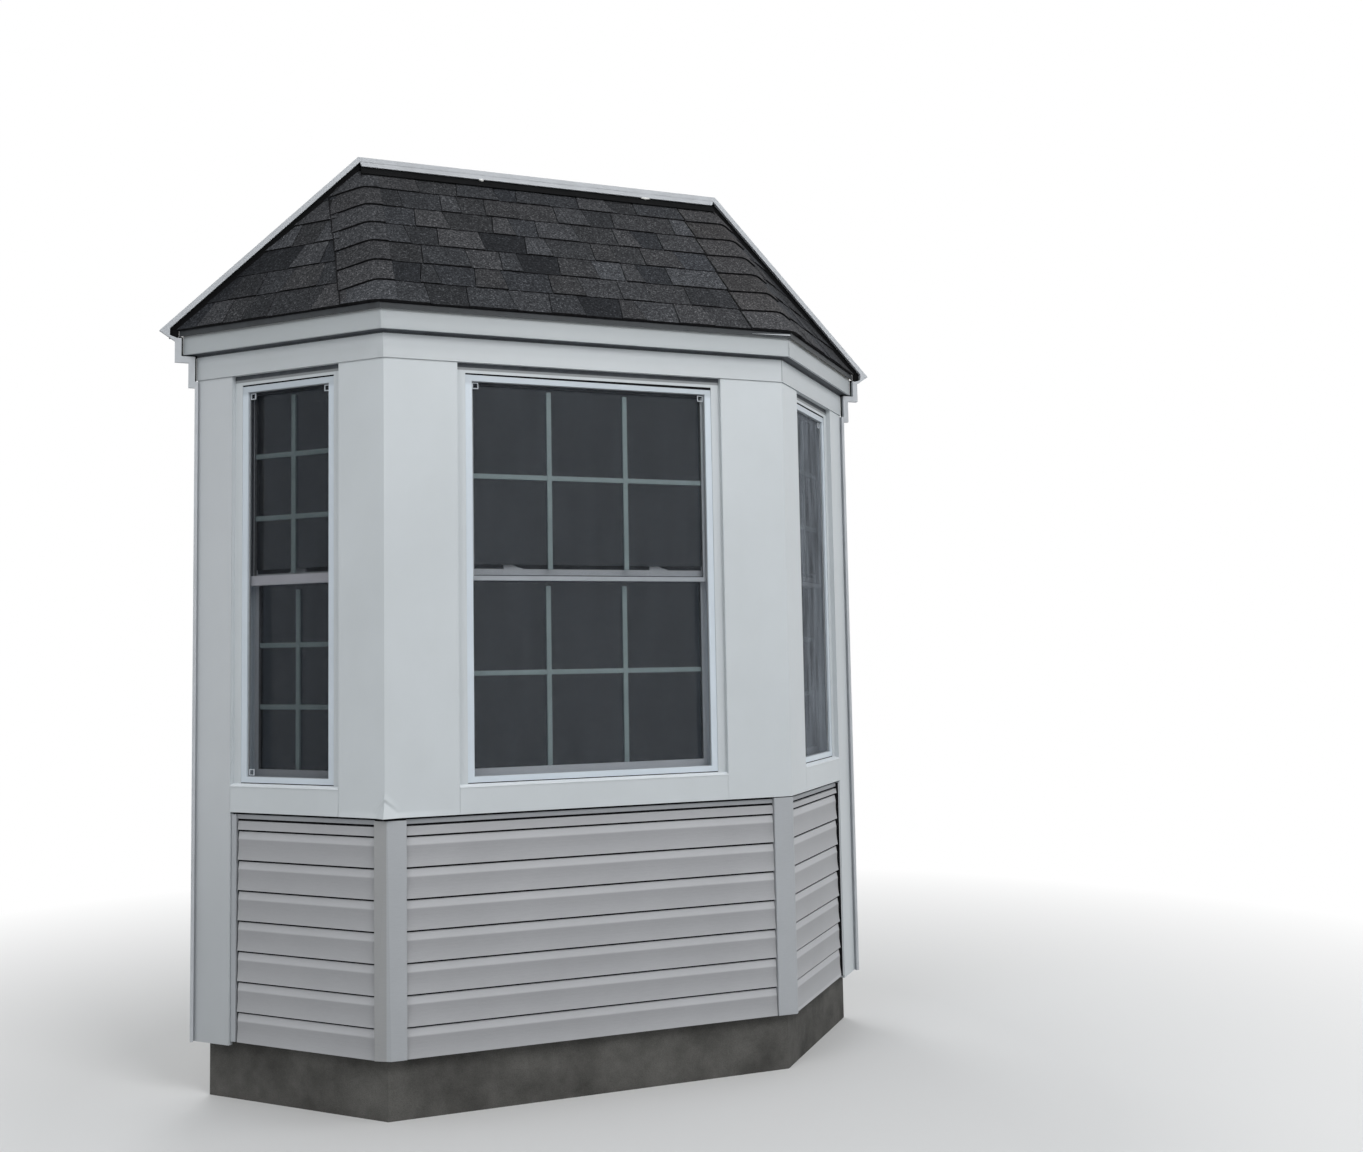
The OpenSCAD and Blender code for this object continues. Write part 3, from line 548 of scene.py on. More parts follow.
# No course starts above this t; narrowest and widest tabs; where the courses start beside the hips
FRONT_STOP, SIDE_STOP = 0.99, 0.98
FRONT_TABS, SIDE_TABS = (0.08, 0.20), (0.09, 0.22)
FRONT_START, UNDER_WRAP, RIGHT_WRAP = 0.06, 0.03, 0.10
LOW_TAB_STRAYS, NARROWEST_TAB, SHORTEST_COURSE = 0.25, 0.004, 0.12
# Lifts of the dark line along a cut, above and below
CUT_LIFTS = ((WRAP_BUTT - EDGE_SINK, 0.0125 - COVER_T), (0.003 - COVER_T, 0.003 - COVER_T))
FELT_T, FELT_ROWS = 0.0008, 6


def hip(t):
    return np.array([eave_half + (ridge_half - eave_half) * t, wall_y - eave_run * (1 - t), eave_z + ROOF_RISE * t])


def wall_limit(t):
    """Distance from the right hip to the wall along the level line at t."""
    return (wall_y - WALL_STOP - hip(t)[1]) / SIN


def roof_point(w, t, lift):
    """A point near the right hip: w < 0 on the front slope, w > 0 on the side, both along a level line."""
    h = hip(t)
    on_front, on_side = np.array([1, 0, 0]), np.array([COS, SIN, 0])
    if w <= -HIP_ROUND:
        return h + on_front * w + FRONT_NORMAL * lift
    if w >= HIP_ROUND:
        return h + on_side * w + SIDE_NORMAL * lift
    k = (w + HIP_ROUND) / (2 * HIP_ROUND)
    bend = h + on_front * -HIP_ROUND * (1 - k) ** 2 + on_side * HIP_ROUND * k ** 2
    normal = FRONT_NORMAL * (1 - k) + SIDE_NORMAL * k
    return bend + normal / np.linalg.norm(normal) * lift


def shingle(shape, edges, w0, w1, t0, t1, butt, flip, columns, rows, drop=None):
    """One shingle between level-line distances w0(t), w1(t) and heights t0, t1, thick at its butt.

    Its cut butt is a black strip in edges: the asphalt's own black, which also stands in for the shade under the butt.
    drop(w) lowers it by a share of the roof's height."""
    def placed(u, v, lift, beyond=0.0):
        t = t0 + (t1 - t0) * v
        if drop:
            t = max(0.0, t - drop(w0(t) + (w1(t) - w0(t)) * u) * (1 - DROP_EASE * v))
        return mirrored(roof_point(w0(t) + (w1(t) - w0(t)) * u, min(t + beyond, TOP_T), lift), flip)

    us, vs = [i / columns for i in range(columns + 1)], [j / rows for j in range(rows + 1)]
    shape.layer(*[
        [[placed(u, v, at_butt * (1 - v) + at_head * v) for v in vs] for u in us]
        for at_butt, at_head in ((butt, HEAD_LIFT), UNDER_LIFTS)])
    reach = EDGE_REACH / FRONT_SLOPE_LEN
    edges.layer(*[
        [[placed(u, 0, lift, beyond) for beyond in (-reach, 0)] for u in us]
        for lift in (butt - EDGE_SINK, EDGE_FOOT - COVER_T)])


def course_heights(step, stop):
    """Lower and upper t of each course of a slope."""
    for i in range(math.ceil(stop / step)):
        yield i * step, min(TOP_T, (i + 1) * step + COURSE_LAP)


def course_cuts(length, low, high):
    """Random widths of shingle tabs that fill a length."""
    cuts = [0.0]
    while cuts[-1] < length - low:
        cuts.append(cuts[-1] + rng.uniform(low, high))
    cuts[-1] = length
    return cuts


def courses(edges, flip, step, stop, rows, widths, length, edge, narrowest, strays):
    """Level courses of one slope: the raised tabs, and the darker ones between them.

    length(t) is a course's length, and edge(t0, t, x) the distance from the hip of what starts at x on t0.
    Tabs under the width narrowest are left out. strays is the share of low tabs in the raised ones' tone."""
    tabs, low_tabs = shapes(2)
    for t0, t1 in course_heights(step, stop):
        cuts = course_cuts(length(t0), *widths)
        raised = rng.random() < 0.5
        # the cuts between tabs lean, and raised tabs narrow upward
        leans = [0.0] + [rng.uniform(*TOOTH_LEAN) for _ in cuts[2:]] + [0.0]
        for a, b, lean_a, lean_b in zip(cuts, cuts[1:], leans, leans[1:]):
            way = (1 if raised else -1) / step

            def start(t):
                return edge(t0, t, a + GAP / 2 + way * lean_a * (t - t0))

            def end(t):
                return edge(t0, t, b - GAP / 2 - way * lean_b * (t - t0))

            if end(t0) - start(t0) > narrowest:
                shape = tabs if raised or (strays and rng.random() < strays) else low_tabs
                shingle(shape, edges, start, end, t0, t1, TOOTH_BUTT if raised else BASE_BUTT, flip, 1, rows)
            raised = not raised
    return tabs, low_tabs


def front_courses(edges):
    """Courses of the front slope, from one wrapped hip to the cut line beside the other."""
    last = CUT_RIGHT + CUT_SLOT
    length = 2 * eave_half - FRONT_START - last

    def edge(t0, t, x):
        # x is measured from the left hip's side; the right end stays parallel to the right hip
        return -last if x > length - GAP else -(length + last - x) * hip(t)[0] / eave_half

    return courses(
        edges, False, FRONT_STEP, FRONT_STOP, 2, FRONT_TABS, lambda t: length, edge, -math.inf, LOW_TAB_STRAYS)


def side_courses(edges, flip, cut):
    """Courses of one side slope, between the cut line by the hip and the house wall."""
    hip_shift = eave_run * SIN - (eave_half - ridge_half) * COS
    first = cut - UNDER_WRAP

    def edge(t0, t, x):
        # x is fixed along the eave; the distance starts at the hip, which moves with t
        return min(max(first + x - hip_shift * (t - t0), first), wall_limit(t))

    return courses(
        edges, flip, SIDE_STEP, SIDE_STOP, 4, SIDE_TABS,
        lambda t: max(SHORTEST_COURSE, wall_limit(0) * (1 - t) - first), edge, NARROWEST_TAB, 0)


def wrapped_courses(edges, flip, w_front, w_side, side_drop, front_drop, side_cut):
    """Shingles bent over a hip, each course one strip that ends at a straight cut.

    With side_cut the cut on the side slope shows as a dark line of painted shade."""
    shape = Shape()

    def drop(w):
        return (max(0.0, w) * side_drop + max(0.0, -w) * front_drop) / ROOF_RISE

    for t0, t1 in course_heights(FRONT_STEP, FRONT_STOP):
        end = w_side + rng.uniform(-CUT_WANDER, CUT_WANDER)
        shingle(
            shape, edges, lambda t: -w_front, lambda t: min(end, wall_limit(t)), t0, t1, WRAP_BUTT, flip, 16, 3, drop)
        low_t = max(0.0, t0 - drop(end))
        high_t = low_t + FRONT_STEP
        if side_cut and high_t < TOP_T:
            edges.layer(*[
                [[mirrored(roof_point(min(w, wall_limit(t)), t, lift), flip) for w in (end - TUCK, end + CUT_SHADE)]
                 for t, lift in zip((low_t, high_t), lifts)]
                for lifts in CUT_LIFTS])
    return shape


def front_layer(shape, heights, lifts):
    """A sheet over the front slope, from hip to hip, between two lifts."""
    shape.layer(*[
        [[mirrored(hip(t) + FRONT_NORMAL * lift, flip) for t in heights] for flip in (True, False)]
        for lift in lifts])


def felt():
    """Black felt on the roof boards, which shows in the slots between shingles."""
    shape = Shape()
    heights = [k / FELT_ROWS * TOP_T for k in range(FELT_ROWS + 1)]
    lifts = (FELT_T - COVER_T, HAIR - COVER_T)
    front_layer(shape, heights, lifts)
    reach = np.array([COS, SIN, 0])
    for flip in (True, False):
        shape.layer(*[
            [[mirrored(hip(t) + reach * u * wall_limit(t) + SIDE_NORMAL * lift, flip) for t in heights]
             for u in (0, 1)]
            for lift in lifts])
    shape.piece("roof_felt", ASPHALT_AND_SHADE, "shingles")


def roof():
    edges = Shape()
    for name, (tabs, low_tabs) in (
        ("front", front_courses(edges)), ("left", side_courses(edges, True, CUT_LEFT)),
        ("right", side_courses(edges, False, RIGHT_WRAP)),
    ):
        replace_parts(tabs.piece(f"shingle_courses_{name}", COOL_SHINGLE, "shingles", smooth=35), f"shingles_{name}")
        low_tabs.piece(f"shingle_low_tabs_{name}", DARK_SHINGLE, "shingles", smooth=35)
    # widths on the front and the side slope, how much the strip drops over each, and whether its cut shows
    for name, look, flip, *sizes in (
        ("left", COOL_SHINGLE, True, 0.07, CUT_LEFT, 0.2, 0.0, True),
        ("right", WARM_SHINGLE, False, CUT_RIGHT, 0.12, 0.1, 0.04, False),
    ):
        wrapped_courses(edges, flip, *sizes).piece(f"shingle_hip_{name}", look, "shingles", smooth=35)
    edges.piece("shingle_edges", ASPHALT_AND_SHADE, "shingles")
    felt()


# Sheets of coated metal over the trim boards
SHEET_T, SHEET_LIFT, SHEET_STEP = 0.0006, 0.0009, 0.035
# Waves of the sheets, which fade over a share of the length and over a height at the edges
SHEET_WAVE, WAVE_SCALE, WAVE_FADE_SHARE, WAVE_FADE_H = 0.0005, 6.0, 1 / 6, 1 / 25
FASCIA_SHEET, FRIEZE_SHEET = FASCIA_OUT + SHEET_LIFT, FRIEZE_OUT + SHEET_LIFT
SEAM, LAP_T = 0.0008, 0.0008
# Place and width of the strips of painted shade down the right corner of the fascia and the frieze
SEAM_SHADE_AT, SEAM_SHADE_W = 0.0006, 0.0026
FASCIA_LIP, FRIEZE_GAP, HEAD_GAP, HEAD_SHADE = 0.007, 0.009, 0.017, 0.010
HEM_OUT, HEM_H, FRIEZE_HANG = 0.0022, 0.0045, 0.0012
FASCIA_SHORT, PANEL_SHORT, LAP_SHORT = 0.002, 0.003, 0.004
# Reach of the corner laps on the front and on the side
FASCIA_LAP, FRIEZE_LAP = (0.006, 0.008), (0.0008, 0.024)
JAMB_FACE = -0.018
# How far the painted shade over a frame hangs; the front window's is thicker at its right end
FRAME_SHADE_DROP = {"front": (0.0026, 0.0075), "left": (0.0026, 0.0026), "right": (0.0026, 0.0026)}
FRAME_SHADE_TOP, FRAME_SHADE_FOOT = 0.0034, 0.0036
# How deep the painted shade over and under a frame reaches in
FRAME_SHADE_IN, FRAME_SHADE_FOOT_IN = 0.012, 0.003
# The openings in the trim, from the windows' frames or in from the ends of the side faces
FRONT_MARGIN, SIDE_MARGINS = 0.0353, (0.205, 0.176)
front_window_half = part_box("frame_front")[1].x + FRONT_MARGIN
SIDE_OPENING = (SIDE_MARGINS[0], side_len - SIDE_MARGINS[1])
OPENINGS = {
    "front": (half_front - front_window_half, half_front + front_window_half), "left": SIDE_OPENING,
    "right": SIDE_OPENING}

# Folds that a knock left in the sheets at the left front corner, just over the siding: from a crease
# down to the lower edge the sheet is bent out, and over the crease it bulges a little
CREASE_Z, CREASE_FALL, DENT_TOP = 0.060, {"front": 0.85, "left": 1.3}, 0.15
BENT_OUT = 0.38
BULGE, BULGE_H, BULGE_PEAK, BULGE_REACH = 0.0065, 0.034, 0.3, 0.055
EDGE_FLARE, FLARE_H, FLARE_REACH = 0.007, 0.021, 0.34
# This near the corner the sheets are pushed out along its middle line
CORNER_REACH = 0.05
# Rows and columns close enough for the folds; the columns crowd together toward the corner
DENT_COLUMNS, DENT_CROWDING, DENT_STEP = 48, 1.7, 0.005


def dented(p):
    """The point p moved outward where the sheets are crumpled."""
    a, z = math.hypot(p[0] + half_front, p[1] - trim_y), p[2] - band_z
    if a > FLARE_REACH or z > DENT_TOP:
        return p
    on_front = p[0] > -half_front
    below = CREASE_Z - a * CREASE_FALL["front" if on_front else "left"] - z
    if below > 0:
        push = BENT_OUT * below
    else:
        up = min(1.0, -below / BULGE_H)
        push = BULGE * min(up / BULGE_PEAK, (1 - up) / (1 - BULGE_PEAK)) * max(0.0, 1 - a / BULGE_REACH)
    push = max(push, EDGE_FLARE * max(0.0, 1 - z / FLARE_H) * (1 - a / FLARE_REACH))
    corner = Vector((-math.sin(BAY_ANGLE / 2), -math.cos(BAY_ANGLE / 2)))
    outward = corner.lerp(Vector((0, -1) if on_front else (-SIN, -COS)), min(1.0, a / CORNER_REACH))
    return (p[0] + outward.x * push, p[1] + outward.y * push, p[2])


def sheet_run(shape, face, span, mitres, profile, near_dent=False):
    """A thin folded sheet over a span of a face. profile is a list of (d, z), from its lower edge up.

    mitres say how far each end moves along the face for each metre outward. Near the dent the sheet
    has close columns, and close rows in the first run of its profile."""
    count = DENT_COLUMNS if near_dent else max(2, int((span[1] - span[0]) / SHEET_STEP))
    rows = []
    for k, ((d0, z0), (d1, z1)) in enumerate(zip(profile, profile[1:])):
        pieces = max(1, int(math.hypot(d1 - d0, z1 - z0) / (DENT_STEP if near_dent and k == 0 else SHEET_STEP)))
        rows += [(d0 + (d1 - d0) * j / pieces, z0 + (z1 - z0) * j / pieces) for j in range(pieces)]
    rows.append(profile[-1])
    z_low, z_high = min(z for _, z in rows), max(z for _, z in rows)
    backs = []
    for k, (d, z) in enumerate(rows):
        (d0, z0), (d1, z1) = rows[max(0, k - 1)], rows[min(len(rows) - 1, k + 1)]
        length = math.hypot(d1 - d0, z1 - z0)
        backs.append((d - (z1 - z0) / length * SHEET_T, z + (d1 - d0) / length * SHEET_T))
    rings = []
    for i in range(count + 1):
        outer, inner = [], []
        u = (i / count) ** (DENT_CROWDING if near_dent else 1)
        for (d, z), back in zip(rows, backs):
            a = (span[0] + mitres[0] * d) * (1 - u) + (span[1] + mitres[1] * d) * u
            fade = min(1, min(u, 1 - u) / WAVE_FADE_SHARE) * min(1, min(z - z_low, z_high - z) / WAVE_FADE_H)
            shift = SHEET_WAVE * fade * noise.noise(Vector(face.at(a, d, z)) * WAVE_SCALE)
            outer.append(dented(face.at(a, d + shift, z)))
            inner.append(dented(face.at(a, back[0] + shift, back[1])))
        rings.append(outer + inner[::-1])
    shape.loft(rings)


def wraps():
    """The white sheets folded over the trim boards."""
    fascia, frieze, corners, bands, end_left, end_right = shapes(6)
    for face in FACES.values():
        hem = FASCIA_SHEET + HEM_OUT
        sheet_run(fascia, face, (0, face.length), face.mitres, [
            (FASCIA_OUT - FASCIA_LIP, fascia_z - SHEET_T), (hem, fascia_z - SHEET_T), (hem, fascia_z + 2 * HAIR),
            (FASCIA_SHEET, fascia_z + HEM_H), (FASCIA_SHEET, fascia_top - FASCIA_SHORT)])
        hem = FRIEZE_SHEET + HEM_OUT
        sheet_run(frieze, face, (0, face.length), face.mitres, [
            (-TUCK, head_z - FRIEZE_HANG), (hem, head_z - FRIEZE_HANG), (hem, head_z), (FRIEZE_SHEET, head_z + HEM_H),
            (FRIEZE_SHEET, fascia_z - TUCK)])

    creased, top = (SHEET_LIFT, band_z + DENT_TOP), (SHEET_LIFT, head_z - PANEL_SHORT)
    panel_end, panel_start = OPENINGS["front"]
    for face, span, mitres in (
        (front, (0, panel_end - SEAM), (-MITRE, 0)), (left, (0, SIDE_OPENING[0] - SEAM), (-MITRE, 0)),
        (front, (panel_start + SEAM, front.length), (0, MITRE)), (right, (0, SIDE_OPENING[0] - SEAM), (-MITRE, 0)),
    ):
        near_dent = face is left or (face is front and span[0] == 0)
        sheet_run(corners, face, span, mitres, [(SHEET_LIFT, band_z), creased, top], near_dent)
    for name, face in FACES.items():
        band = [(SHEET_LIFT, band_z), (SHEET_LIFT, sill_z - CLEAR)]
        sheet_run(bands, face, inset(OPENINGS[name], SEAM), (0, 0), band)
    for face, shape in ((left, end_left), (right, end_right)):
        foot = (SHEET_LIFT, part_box("wall_trim")[0].z + CLEAR)
        sheet_run(shape, face, (SIDE_OPENING[1] + SEAM, face.length), (0, WALL_MITRE), [foot, top])
    for shape, name, look in (
        (fascia, "fascia_sheet", SHADED_FASCIA_COIL), (frieze, "frieze_sheet", FRIEZE_COIL),
        (corners, "corner_sheets", COIL), (bands, "sill_band_sheets", COIL),
        (end_left, "wall_trim_sheet_left", WALL_COIL), (end_right, "wall_trim_sheet_right", COIL),
    ):
        shape.piece(name, look, "trim", smooth=40)


def mitred_bar(shape, face, d, z):
    """A bar over the length of a face, whose ends follow the mitres."""
    outline = ((d[0], z[0]), (d[1], z[0]), (d[1], z[1]), (d[0], z[1]))
    shape.loft([
        [face.at(a + mitre * out, out, height) for out, height in outline]
        for a, mitre in zip((0, face.length), face.mitres)])


def shade_gaps():
    """Painted shade: dark strips where the sheets stop short, under the fascia and over the heads, grey strips under
    the heads' dark ones, and black strips in the gaps over and under the frames.
    """
    gaps, heads, gap_shades = shapes(3)
    for name, face in FACES.items():
        mitred_bar(gaps, face, (FRIEZE_OUT, FASCIA_OUT - FASCIA_LIP), (fascia_z - CLEAR, fascia_z + HAIR))
        mitred_bar(gaps, face, (FRIEZE_OUT, FRIEZE_SHEET + 2 * HAIR), (fascia_z - FRIEZE_GAP, fascia_z))
        across, shaded_z = inset(OPENINGS[name], TUCK), head_z - HEAD_GAP
        gaps.box(face.at, across, (JAMB_FACE - TUCK, JAMB_FACE + 3 * HAIR), (shaded_z, head_z - HAIR))
        heads.box(face.at, across, (JAMB_FACE - TUCK, JAMB_FACE + 2 * HAIR), (shaded_z - HEAD_SHADE, shaded_z))
        low, high = face.span(f"frame_{name}")
        d0, d1, top = high[1] - FRAME_SHADE_IN, high[1] + 2 * HAIR, high[2] + FRAME_SHADE_TOP
        gap_shades.loft([
            [face.at(a, d, z) for d, z in ((d0, high[2] - drop), (d1, high[2] - drop), (d1, top), (d0, top))]
            for a, drop in zip((low[0], high[0]), FRAME_SHADE_DROP[name])])
        gap_shades.box(
            face.at, (low[0], high[0]), (high[1] - FRAME_SHADE_FOOT_IN, high[1] + 3 * HAIR),
            (low[2] + HAIR, low[2] + FRAME_SHADE_FOOT))
    gaps.piece("shade_gaps", GAP_SHADE, "trim")
    heads.piece("head_shade_strips", SHADE_COIL, "trim")
    gap_shades.piece("frame_gap_shades", ASPHALT_AND_SHADE, "window_frame")


def corner_caps():
    """Narrow folded laps over the corners of the fascia and the frieze, and strips of painted shade down the right
    corner.
    """
    fascia, frieze, seam_shades = shapes(3)
    for side, corner_a, toward in ((left, 0, 1), (right, front.length, -1)):
        for shape, out, z0, z1, (on_front, on_side) in (
            (fascia, FASCIA_SHEET, fascia_z - SHEET_T, fascia_top - LAP_SHORT, FASCIA_LAP),
            (frieze, FRIEZE_SHEET, head_z - LAP_T, fascia_z - FRIEZE_GAP - CLEAR, FRIEZE_LAP),
        ):
            outline = []
            for d in (out, out + LAP_T):
                corner = corner_a - toward * MITRE * d
                outline.append([
                    front.at(corner + toward * on_front, d, 0)[:2], front.at(corner, d, 0)[:2],
                    side.at(on_side - MITRE * d, d, 0)[:2]])
            ring = outline[1] + outline[0][::-1]
            shape.loft([[(x, y, z) for x, y in ring] for z in (z0, z1)])
            if side is right:
                end = front.length + MITRE * (out + LAP_T) - SEAM_SHADE_AT
                seam_shades.box(
                    front.at, (end - SEAM_SHADE_W, end), (out - HAIR, out + LAP_T + 2 * HAIR), (z0 + CLEAR, z1 - CLEAR))
    seam_shades.piece("trim_corner_seam_shades", SHADE_COIL, "trim")
    fascia.piece("fascia_corner_laps", SHADED_FASCIA_COIL, "trim")
    frieze.piece("frieze_corner_laps", FRIEZE_COIL, "trim")


RIDGE_STRIP, RIDGE_LIP, STRIP_LIFTS = 0.058, 0.018, (0.0022, 0.0010)
# Each blob's place along the ridge, half width and half height; how far they stand off and hang
SEALANT_BLOBS = ((-0.29, 0.011, 0.006), (0.475, 0.022, 0.005))
BLOB_OUT, BLOB_DROP, BLOB_LUMPS, BLOB_RINGS, BLOB_TURNS = 0.002, 0.004, 0.3, 8, 10
# Light sliver that shows under the front's drip edge: place, height and thickness of both its ends
SLIVER_ENDS = ((0.672, 2.9752, 0.0006), (0.845, 2.9785, 0.0052))
SLIVER_D = (DRIP_OUT + HAIR, DRIP_OUT + HAIR + 0.0026)


def ridge_finish():
    """Black strip over the highest shingles, the channel's lower lip, two blobs of sealant and the sliver."""
    strip, lip, blobs, sliver = shapes(4)
    reach = RIDGE_STRIP / FRONT_SLOPE_LEN
    front_layer(strip, (TOP_T - reach, TOP_T - reach / 2, TOP_T), STRIP_LIFTS)
    strip.piece("ridge_strip", FLASHING_AND_SHADE, "flashing")

    channel_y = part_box("wall_channel")[0].y
    low, high = CHANNEL_GAP - RIDGE_LIP, CHANNEL_GAP + TUCK
    ends = [(ridge_half + w * math.tan(WALL_SLOPE / 2), ridge_z + w) for w in (low, high)]
    section = [(-ends[0][0], ends[0][1]), ends[0], ends[1], (-ends[1][0], ends[1][1])]
    lip.loft([[(x, y, z) for x, z in section] for y in (channel_y, wall_y - WALL_STOP)])
    lip.piece("ridge_channel_lip", CHANNEL, "channel")

    for x, half_w, half_h in SEALANT_BLOBS:
        rings = []
        for k in range(BLOB_RINGS + 1):
            u = -1 + 2 * k / BLOB_RINGS
            size = math.sqrt(max(0.02, 1 - u * u))
            ring = []
            for turn in (math.tau * j / BLOB_TURNS for j in range(BLOB_TURNS)):
                lump = 1 + BLOB_LUMPS * noise.noise(Vector((x * 9 + u * 1.7, math.cos(turn), math.sin(turn))))
                reach = half_h * size * lump
                ring.append((
                    x + u * half_w, channel_y - BLOB_OUT + reach * math.cos(turn),
                    ridge_z + low - BLOB_DROP + reach * math.sin(turn)))
            rings.append(ring)
        blobs.loft(rings)
    blobs.piece("ridge_sealant", SEALANT, "flashing", smooth=60)

    sliver.loft([
        [front.at(half_front + x, d, z + up) for d, up in zip(SLIVER_D + SLIVER_D[::-1], (0, 0, height, height))]
        for x, z, height in SLIVER_ENDS])
    sliver.piece("eave_sliver", CHANNEL, "drip_edge")


# The painted shade reaches this far on under the channel's end and along the eave, and down to these two depths
UNDER_CHANNEL, PAST_EAVE, SLOT_SHADE_T = 0.004, 0.003, 0.0012
DRIP_DEPTH, EAVE_DEPTH = 0.0305, 0.041


def wall_x(d):
    """Half the bay's width at the wall, at a depth d from the trim."""
    return half_front + projection + d / SIN


def wall_slot_shade():
    """Painted shade: a dark sheet on the wall behind the channel, in line with the open slots round the roof's edge.
    """
    shape = Shape()

    def line(w):
        on_slope, on_ridge = eave_x + w / math.sin(WALL_SLOPE), ridge_half + w * math.tan(WALL_SLOPE / 2)
        return [(-on_slope, eave_z), (-on_ridge, ridge_z + w), (on_ridge, ridge_z + w), (on_slope, eave_z)]

    face_y = wall_y - (flashing_high.y - flashing_low.y)
    shape.loft([
        [(x0, face_y, z0), (x1, face_y, z1), (x1, wall_y, z1), (x0, wall_y, z0)]
        for (x0, z0), (x1, z1) in zip(line(-COVER_T), line(0.0))])

    behind = (wall_y - SLOT_SHADE_T, wall_y - HAIR)
    channel = CHANNEL_END_GAP + UNDER_CHANNEL
    end = eave_x + CHANNEL_GAP / math.sin(WALL_SLOPE) + PAST_EAVE
    under_drip = eave_z - DRIP_DEPTH
    at_fascia, at_frieze = wall_x(FASCIA_SHEET), wall_x(FRIEZE_SHEET)
    for x0, x1, z, y in (
        (at_fascia, at_fascia + channel, (fascia_z - CHANNEL_END_GAP, under_drip + CLEAR), behind),
        (at_frieze, at_frieze + channel, (head_z - CHANNEL_END_GAP, fascia_z - TUCK), behind),
        (wall_x(FRIEZE_OUT), wall_x(FASCIA_OUT) + channel, (fascia_z - channel, fascia_z - HAIR),
         (wall_y - SLOT_SHADE_T - 2 * HAIR, wall_y - 2 * HAIR)),
        (at_fascia, end, (eave_z - EAVE_DEPTH, under_drip), behind),
        (wall_x(DRIP_OUT), end, (under_drip, eave_z), behind),
    ):
        for sign in (-1, 1):
            shape.box(lambda *p: p, (sign * (x0 + CLEAR), sign * x1), y, z)
    shape.piece("wall_slot_shade", FLASHING_AND_SHADE, "flashing")


# Apron
POST_FRONT_W, POST_SIDE_W = 0.080, {"left": 0.046, "right": 0.014}
POST_OUT, POST_GAP, POST_T = 0.002, 0.0018, 0.007
# How far each post stops under the band; the gap is filled with painted shade
POST_DROP = {"left": 0.010, "right": 0.004}
# How far the left post's edge stands in from the corner, at its top and its foot
POST_EDGE_IN = {"left": (0.010, 0.022), "right": (0, 0)}
BACKING_T = 0.0008
# Reach of a course beyond the wall board, and its height below the butt of the course above
BUTT_OUT = 0.015
COURSE_PROFILE = (
    (0.0132, -0.1043), (0.0116, -0.0923), (0.0102, -0.0783), (0.0096, -0.0643), (0.0097, -0.0523),
    (0.0104, -0.0403), (0.0104, -0.0363), (0.0082, -0.0243), (0.0058, -0.0103))
NECK_OUT = 0.0054
BUTT_SLIT = {"front": 0.0080, "left": 0.0080, "right": 0.0102}
# The channel round the siding: a lip between two dark slits
LIP_H, LIP_W, LIP_SLIT, LIP_OUT = 0.0165, 0.022, 0.0085, 0.0085
UPRIGHT_OUT = {"left": BUTT_OUT, "right": 0.0205}
EDGE_SLIT, EDGE_SHADE = 0.003, 0.0012


def siding_courses(face, ends, lift, top, slit):
    """Lap siding from its lowest butt up to the channel, with a slit under every butt."""
    shape = Shape()
    z0, z1 = siding_z, siding_z + COURSE_H + lift
    while z0 < top - TUCK:
        points = [(BUTT_OUT, z0)] + [(out, z1 + below) for out, below in COURSE_PROFILE] + [(NECK_OUT, z1 - slit)]
        kept = [p for p in points if p[1] < top]
        if len(kept) < len(points):
            (out_a, z_a), (out_b, z_b) = kept[-1], points[len(kept)]
            kept.append((out_a + (out_b - out_a) * (top - z_a) / (z_b - z_a), top))
        ring = kept + [(BACKING_T, kept[-1][1]), (BACKING_T, z0)]
        shape.loft([[face.at(a, out - BOARD_T, z) for out, z in ring] for a in ends])
        z0, z1 = z1, z1 + COURSE_H
    return shape


def corner_posts():
    posts, heads = shapes(2)
    for name, side, corner_a, toward in (("left", left, 0, 1), ("right", right, front.length, -1)):
        top = band_z - POST_DROP[name]
        front_edge, side_w = corner_a + toward * POST_FRONT_W, POST_SIDE_W[name]

        def outline(d, z, step_in=0.0):
            return [
                front.at(front_edge, d, z), front.at(corner_a - toward * (MITRE * d - step_in), d, z),
                side.at(side_w, d, z)]

        # a black block in the gap over the post's top: painted shade under the band
        heads.loft([
            outline(POST_OUT - POST_T, z) + [
                side.at(side_w, -BOARD_T, z), front.at(corner_a + toward * MITRE * BOARD_T, -BOARD_T, z),
                front.at(front_edge, -BOARD_T, z)]
            for z in (top + HAIR, band_z - HAIR)])
        posts.loft([
            outline(POST_OUT, z, edge_in) + outline(-BOARD_T, z, edge_in / 2)[::-1]
            for z, edge_in in zip((top, siding_z), POST_EDGE_IN[name])])
    return posts, heads


